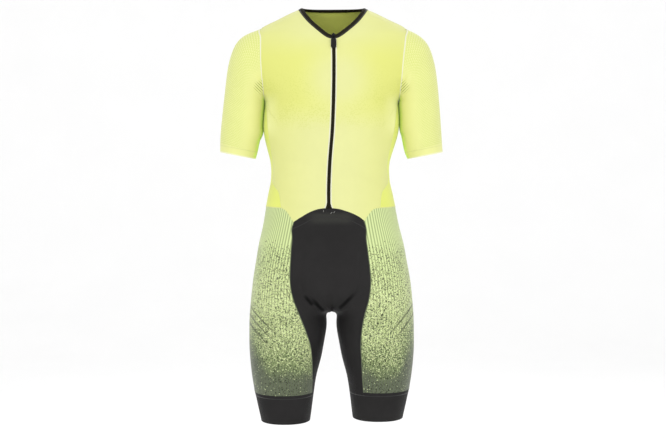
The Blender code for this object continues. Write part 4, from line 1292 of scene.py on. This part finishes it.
def near_line(x, z, start, end, reach):
    """1 on a line seen from the front, falling to 0 at the reach from it and towards the line's start."""
    across, up = end[0] - start[0], end[1] - start[1]
    size = across**2 + up**2
    before = x.scaled(across / size, -(start[0] * across + start[1] * up) / size)
    along = z.maths("MULTIPLY_ADD", up / size, before, clamp=True)
    off_x = along.scaled(across, start[0]) - x
    off_z = along.scaled(up, start[1]) - z
    square = off_z.scaled(off_z, off_x * off_x)
    return square.maths("POWER", 0.5).step(reach, reach * 0.1) * along.step(0.0, 0.6)


def black_coat(name, colour=None, rough=0.5):
    """Black knit. Without a given colour it has a painted highlight along the arch and painted shade inside
    deep creases.
    """
    knit = Knit(name, colour or BLACK, dark=0.8, rough=rough, bump=0.35, sheen=0.0, specular=0.05)
    if not colour:
        x, y, z = knit.place.axes()
        front = y.step(0.0, -0.03)
        # Painted highlight below the arch, where the cloth bulges up towards the light
        knit.paint(z.band(*ARCH_HIGHLIGHT) * abs(x).step(0.062, 0.03) * front, BLACK_PAINTED_HIGHLIGHT)
        # Painted shade inside the deepest creases
        for start, end in FOLD_SHADES:
            knit.paint(near_line(x, z, start, end, FOLD_SHADE_REACH), BLACK_FOLD_SHADE)
    return knit.coat


def speckle_coat(side):
    """Outer legs: pale lime with fine ribs above, then dark and light grains on a ground that falls to
    grey-green, with painted shade in the creases at the front of the thighs."""
    knit = Knit(f"speckle_knit_{side}", LEG_TOP)
    x, y, z = knit.place.axes()
    patch = knit.place.texture("Noise", Scale=11, Detail=3, Roughness=0.6)["Fac"]
    outside = (x * SIDES[side]).step(0.14, 0.19) * z.step(-0.62, -0.74)
    level = outside.scaled(-0.05, (patch - 0.5).scaled(0.12, z))
    for start, end, colour in LEG_TONES:
        knit.paint(level.step(start, end), colour)
    core, radius = LEG_CORE
    bend = z.scaled(7.0, 3.4).maths("SINE") * 0.03
    turn = y.maths("ARCTAN2", x.scaled(SIDES[side], -core))
    ribs = turn.scaled(radius, bend).wave(RIB_PITCH).step(-0.2, 0.8)
    knit.paint(ribs * z.step(-0.86, -0.5, 0.45, 0.56), LEG_LINE)

    grains = knit.place.texture("Voronoi", Scale=GRAIN_SCALE)
    off, (dark_chance, light_chance, _) = grains["Distance"], grains["Color"].axes()
    share = level.step(-0.53, -0.59, 0.0, 0.24) + level.step(-0.59, -0.74, 0.0, 0.2)
    share = share - level.step(-0.77, -0.87, 0.0, 0.26)
    knit.paint((dark_chance < share) * off.step(0.78, 0.6) * 0.95, LEG_GRAIN_AND_FOLD_SHADE)
    share = level.step(-0.58, -0.7) * level.step(-0.86, -0.79, 0.08, 1.0)
    knit.paint((light_chance < share * 0.42) * off.step(0.6, 0.42) * 0.85, LEG_SPECK)
    front = y.step(0.0, -0.03, 0.0, 0.7)
    # Painted shade inside the creases at the front of the thighs
    for start, end in LEG_FOLD_SHADES[side]:
        knit.paint(near_line(x, z, start, end, LEG_FOLD_SHADE_REACH) * front, LEG_GRAIN_AND_FOLD_SHADE)
    return knit.coat


def stitch_coat(name, colour, thread):
    """Flat seam: slanted stitches across a narrow band."""
    knit = Knit(name, colour, dark=0.85, bump=0.6)
    u, v, _ = knit.flat.axes()
    stitches = v.scaled(0.6, u).wave(STITCH_PITCH)
    knit.paint(stitches.step(-0.3, 0.5), thread)
    knit.lift(stitches)
    return knit.coat


def hard_coat():
    """Painted die-cast slider and tab: near black, satin, with fine grain."""
    coat, shader, place, _ = new_coat("slider_paint")
    grain = place.texture("Noise", Scale=900, Detail=3)["Fac"]
    looks = {"Specular IOR Level": 0.22, "Base Color": mix(grain, SLIDER, SLIDER_WORN)}
    looks["Roughness"] = grain.step(0.2, 0.8, 0.18, 0.3)
    fill([shader[key] for key in looks], looks.values())
    add_relief(shader, grain, 0.15, 0.0002)
    return coat


def linear(red, green, blue):
    """A colour given as it shows in the picture, where 255 is white, for a material in this light."""
    found = []
    for value in (red, green, blue):
        c = value / 255
        found.append(EXPOSURE * (c / 12.92 if c <= 0.04045 else ((c + 0.055) / 1.055) ** 2.4))
    return (*found, 1)


LIME = linear(235, 237, 163)
LIME_STRONG = linear(229, 232, 122)
LIME_SPECK = linear(206, 214, 92)
# Painted light on the torso beside the armpit
LIME_PAINTED_LIGHT = linear(250, 252, 176)
SLEEVE = linear(241, 243, 158)
SLEEVE_SCALE = linear(212, 224, 108)
# Painted light on the sleeve's inner strip beside the torso
SLEEVE_INNER_PAINTED_LIGHT = linear(222, 268, 74)
# Painted shade in the gathers at the armpit
SLEEVE_FOLD_SHADE = linear(140, 156, 50)
PALE = linear(250, 250, 216)
YELLOW = linear(243, 250, 125)
YELLOW_DEEP = linear(221, 233, 90)
BLACK = linear(46, 45, 45)
# Painted shade inside the deepest creases
BLACK_FOLD_SHADE = linear(12, 12, 12)
# Painted highlight on the black below the arch
BLACK_PAINTED_HIGHLIGHT = linear(56, 56, 53)
TRIM = linear(40, 37, 26)
SLIDER = linear(16, 16, 17)
SLIDER_WORN = linear(24, 24, 24)
LEG_TOP = linear(222, 238, 168)
LEG_LINE = linear(92, 112, 58)
# Dark grains of the print, and painted shade in the thigh creases
LEG_GRAIN_AND_FOLD_SHADE = linear(20, 26, 12)
LEG_SPECK = linear(250, 262, 196)
# Ground of the outer legs: from a height to a height, into a colour
LEG_TONES = [
    (-0.55, -0.66, linear(214, 228, 162)),
    (-0.66, -0.74, linear(190, 205, 142)),
    (-0.74, -0.81, linear(136, 152, 100)),
    (-0.81, -0.87, linear(94, 100, 82)),
]

# Seam stitching: cloth between the stitches, and thread
STITCHES = {
    "pale": (PALE, linear(250, 250, 232)),
    "lime": (linear(232, 236, 146), linear(236, 240, 160)),
    "black": (linear(31, 30, 30), linear(37, 36, 36)),
    "tack": (linear(150, 150, 145), linear(110, 110, 106)),
    "leg": (linear(70, 78, 58), linear(120, 132, 96)),
}


def zip_piece(coat):
    """Tape with a ribbed coil down its middle."""
    top, bottom = NECKLINE[-1][1] + BINDING_WIDTH * 0.7, ARCH_EDGE[0][1] + SEAM_GAP
    count = int((top - bottom) / ZIP_ROW)
    coil = COIL_PROFILE[-1][0]
    rows, lifts = [], []
    for index, height in enumerate(spaced(top, bottom, count)):
        half, centre = zip_half(height), centre_front(height)
        reach = COIL_PROFILE + [(coil + (half - coil) * share, 0.0) for share in (0.5, 1.0)]
        across = [(-x, out) for x, out in reversed(reach[1:])] + reach
        phase = 2 * math.pi * index * ZIP_ROW / COIL_PITCH
        row, lift = [], []
        for x, out in across:
            row.append(place_flat(centre + x, height, "front"))
            turn = phase + (math.pi if x > 0 else 0)
            lift.append(ZIP_PROUD + out * (0.78 + 0.22 * math.sin(turn)))
        rows.append(row)
        lifts.append(lift)
    net = Net("zip_tape", rows, wall=TAPE_WALL)
    turn_outwards(net)
    net.points = net.points + net.normals * np.array(lifts)[..., None]
    return shell(net, coat)


def binding_piece(fronts, back, coat):
    """The folded binding, and the line of its seam with the directions out of the cloth."""
    right, left = fronts["right"].points, fronts["left"].points
    edge, below = (np.concatenate([right[i, :-1], back.points[i], left[i, ::-1][1:]]) for i in (0, FINE))
    ways = edge - below
    tangents = unit(np.gradient(edge, axis=0))
    ways = unit(ways - (ways * tangents).sum(axis=1, keepdims=True) * tangents)
    ways[0, 0] = ways[-1, 0] = 0.0
    for _ in range(BINDING_SMOOTHINGS * FINE * FINE):
        ways[1:-1] = (ways[:-2] + 2 * ways[1:-1] + ways[2:]) / 4
    ways = unit(ways)
    outs = unit(np.cross(ways, tangents))
    outs *= np.sign((outs * (edge - np.array(NECK_MIDDLE))).sum(axis=1, keepdims=True))
    vertices, faces, uvs = sweep(edge, ways, outs, BINDING_PROFILE, ring=True)
    width = len(BINDING_PROFILE)
    last = (len(edge) - 1) * width
    faces += [tuple(range(width)), tuple(last + j for j in reversed(range(width)))]
    made = make_mesh("neck_binding_cloth", vertices, faces, uvs, coat)
    outward_faces(made)
    return made, (edge - ways * 0.6 + outs * 0.9, outs, False)


def outward_faces(obj):
    shape = bmesh.new()
    shape.from_mesh(obj.data)
    bmesh.ops.recalc_face_normals(shape, faces=shape.faces)
    shape.to_mesh(obj.data)
    shape.free()


def sag(net):
    """Lets the cloth round the wearer's right end of the black arch hang lower."""
    x, y, z = net.points[..., 0], net.points[..., 1], net.points[..., 2]
    off = ((x - SAG["x"]) / SAG["x_reach"]) ** 2 + ((z - SAG["height"]) / SAG["height_reach"]) ** 2
    net.points[..., 2] = z - SAG["drop"] * np.exp(-off) * (y < 0)


def build_nets():
    """Every cloth piece's net but the binding's and the zip's, creased and ready for its shell."""
    nets = {"back": back_net(), "front_panel": panel_net("front"), "seat_panel": panel_net("back")}
    nets["front_arch"] = arch_net()
    for side in SIDES:
        outer, inner = outer_leg_net(side), inner_leg_net(side)
        for net in (front_net(side), outer, inner, gripper_net(side, outer, inner), sleeve_net(side)):
            nets[net.name] = net
    for net in nets.values():
        sag(net)
        smooth_inside(net)
        turn_outwards(net)
        relax_normals(net)
    share_edge_normals(list(nets.values()))
    for net in nets.values():
        net.points = net.points + net.normals * crease_offset(net.points, net.normals)[..., None]
    for side in SIDES:
        hug(nets[f"sleeve_{side}"], nets["back"], side)
    return nets


def seam_lines(nets):
    """Paths with their outward directions and whether they close, by the kind of seam."""
    shoulder, armpit = SHOULDER_SEGMENTS, SHOULDER_SEGMENTS + RING_SEGMENTS // 2
    arch = (len(ARCH_EDGE) - 1) * FINE
    whole = slice(None)
    lines = {kind: [] for kind in ("armhole", "lime", "black", "leg", "fold_right", "fold_left")}

    def add(kind, name, rows, columns, closed=False):
        lines[kind].append((nets[name].points[rows, columns], nets[name].normals[rows, columns], closed))

    for side in SIDES:
        front, back = nets[f"front_{side}"], nets["back"]
        before = slice(shoulder, armpit + 1), -1
        behind = slice(armpit - 1, shoulder, -1), 0 if side == "right" else -1
        loop = np.concatenate([front.points[before], back.points[behind]])
        lines["armhole"].append((loop, np.concatenate([front.normals[before], back.normals[behind]]), True))
        add("lime", f"front_{side}", slice(0, shoulder), -1)
        add("lime", f"front_{side}", slice(armpit + 1, None), -1)
        add("lime", f"front_{side}", -1, slice(arch, None))
        add("black", f"front_{side}", -1, slice(0, arch + 1))
        add("leg", f"outer_leg_{side}", whole, 0)
        add("leg", f"outer_leg_{side}", whole, -1)
        add("black", f"gripper_{side}", FINE // 3, whole, True)
        lines["lime"].append((*above_end(nets[f"sleeve_{side}"], HEM_ZONE / MM), True))
        add(f"fold_{side}", f"front_{side}", whole, 0)
    add("lime", "back", -1, whole)
    add("black", "front_panel", 0, whole)
    add("black", "seat_panel", -1, whole)
    return lines


def above_end(net, distance):
    """The ring of points this far above the net's last row, measured along the cloth."""
    points, normals = net.points[::-1], net.normals[::-1]
    lengths = running(np.linalg.norm(np.diff(points, axis=0), axis=2))

    def ring(values):
        """The values at that distance, column by column."""
        found = []
        for c in range(lengths.shape[1]):
            found.append([np.interp(distance, lengths[:, c], values[:, c, k]) for k in range(3)])
        return np.array(found)

    return ring(points), unit(ring(normals))


def tack(net, start, end):
    """A short bar lying on a net: its points with their outward directions."""
    points, outs = net.points.reshape(-1, 3), net.normals.reshape(-1, 3)
    path, ways = [], []
    for share in (0.0, 0.5, 1.0):
        x, z = (a + (b - a) * share for a, b in zip(start, end))
        near = np.argsort(np.hypot(points[:, 0] - x, points[:, 2] - z))[:4]
        path.append((x, points[near, 1].mean(), z))
        ways.append(outs[near].mean(axis=0))
    return np.array(path), unit(np.array(ways)), False


def settle(piece, node=None):
    """Fixes a piece to the garment. One that stands for a node of the CAD replaces it."""
    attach(piece, "garment")
    if node:
        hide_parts(node)


def build_suit():
    nets = build_nets()
    coats = {"lime": lime_coat(), "yellow": yellow_coat(), "black": black_coat("black_knit")}
    coats |= {"band": black_coat("band_knit"), "trim": black_coat("trim_tape", TRIM, 0.55)}
    plan = [("back", "yellow", "yellow")]
    plan += [(name, "black", "black") for name in ("front_panel", "seat_panel", "front_arch")]
    for side in SIDES:
        coats[f"sleeve_{side}"] = sleeve_coat(side)
        coats[f"speckle_{side}"] = speckle_coat(side)
        plan += [(f"front_{side}", "lime", "lime"), (f"outer_leg_{side}", f"speckle_{side}", "speckle")]
        plan += [(f"inner_leg_{side}", "black", "black"), (f"gripper_{side}", "band", "black")]
        plan.append((f"sleeve_{side}", f"sleeve_{side}", "lime"))
    for name, coat, slot in plan:
        settle(shell(nets[name], coats[coat]), name)
    fronts = {side: nets[f"front_{side}"] for side in SIDES}
    binding, binding_line = binding_piece(fronts, nets["back"], coats["trim"])
    settle(binding, "neck_binding")
    settle(zip_piece(coats["trim"]), "zip_tape")

    lines = seam_lines(nets)
    threads = {name: stitch_coat(f"{name}_stitch", *colours) for name, colours in STITCHES.items()}
    tacks = [tack(nets["front_arch"], *ends) for ends in TACKS]
    seams = [
        ("seam_armholes", lines["armhole"], SEAM_BAND, "pale", "lime"),
        ("seam_lime", lines["lime"], THIN_BAND, "lime", "lime"),
        ("seam_black", lines["black"], FLAT_BAND, "black", "black"),
        ("tacks", tacks, TACK_BAND, "tack", "black"),
        ("seam_legs", lines["leg"], THIN_BAND, "leg", "speckle"),
        ("seam_binding", [binding_line], THIN_BAND, "black", "trim"),
    ]
    for side, sign in SIDES.items():
        fold = [(across * sign, out) for across, out in ZIP_FOLD]
        seams.append((f"zip_fold_{side}", lines[f"fold_{side}"], fold, "pale", "lime"))
    for name, paths, profile, thread, slot in seams:
        settle(bands(name, paths, profile, threads[thread]))
    hard = hard_coat()
    for name in ("zip_slider", "zip_pull"):
        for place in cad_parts[name].material_slots:
            place.material = hard


# Camera: the photograph's width in pixels, one pixel in metres at the middle plane, and where the camera is
PHOTO_WIDTH, PIXEL, SENSOR = 666, 0.00235, 36.0
CAMERA = (0.0033, -3.0, -0.34)
CAMERA_DROP = 0.151  # how far below its own level it looks, at the middle plane

# Studio, in metres: floor level, and where and how widely it bends up into the backdrop
FLOOR, BACKDROP, BEND, BEND_STEPS = -1.5, 4.0, 2.0, 16
# Lights: name, place, height on the middle line that it points at, size, power in watts
LIGHTS = [
    ("key", (-1.6, -2.6, 1.2), -0.4, 1.8, 25),
    ("fill", (1.9, -2.4, 0.3), -0.5, 1.8, 19),
    ("back_light", (0.4, 2.6, 1.4), -0.4, 1.6, 14),
]


def build_camera():
    """A camera square to the suit, with the photograph's scale at the middle plane."""
    data = bpy.data.cameras.new("camera")
    data.sensor_width = SENSOR
    data.lens = SENSOR * -CAMERA[1] / (PHOTO_WIDTH * PIXEL)
    camera = bpy.data.objects.new("camera", data)
    camera.location = CAMERA
    camera.rotation_euler = (math.radians(90) + math.atan2(-CAMERA_DROP, -CAMERA[1]), 0, 0)
    bpy.context.scene.collection.objects.link(camera)
    bpy.context.scene.camera = camera


def soft_light(name, place, towards, size, power):
    data = bpy.data.lights.new(name, "AREA")
    data.shape = "RECTANGLE"
    data.size = data.size_y = size
    data.energy = power
    light = bpy.data.objects.new(name, data)
    light.location = place
    way = Vector((0, 0, towards)) - Vector(place)
    light.rotation_euler = way.to_track_quat("-Z", "Y").to_euler()
    bpy.context.scene.collection.objects.link(light)


def build_studio():
    """A pale floor that bends up into the backdrop, three soft lights and an even pale surrounding."""
    profile = [(-9.0, FLOOR)]
    for step in range(BEND_STEPS + 1):
        angle = math.pi / 2 * step / BEND_STEPS
        profile.append((BACKDROP + BEND * math.sin(angle), FLOOR + BEND * (1 - math.cos(angle))))
    profile.append((BACKDROP + BEND, 9.0))
    vertices = [(x / MM, y / MM, z / MM) for y, z in profile for x in (-14.0, 14.0)]
    faces = [(2 * i, 2 * i + 1, 2 * i + 3, 2 * i + 2) for i in range(len(profile) - 1)]
    coat, shader, place, _ = new_coat("floor_paper")
    grain = place.texture("Noise", Scale=3, Detail=2)["Fac"]
    base = mix(grain, (0.95, 0.95, 0.95, 1), (0.98, 0.98, 0.98, 1))
    fill([shader["Base Color"], shader["Roughness"]], (base, 0.9))
    make_mesh("floor", vertices, faces, None, coat)
    world = bpy.data.worlds.new("studio")
    world.use_nodes = True
    sky = world.node_tree.nodes["Background"].inputs
    fill([sky["Color"], sky["Strength"]], ((1, 1, 1, 1), 0.98))
    bpy.context.scene.world = world
    for light in LIGHTS:
        soft_light(*light)


build_camera()
build_studio()
build_suit()
bpy.context.scene.view_settings.view_transform = "Standard"
bpy.context.view_layer.update()
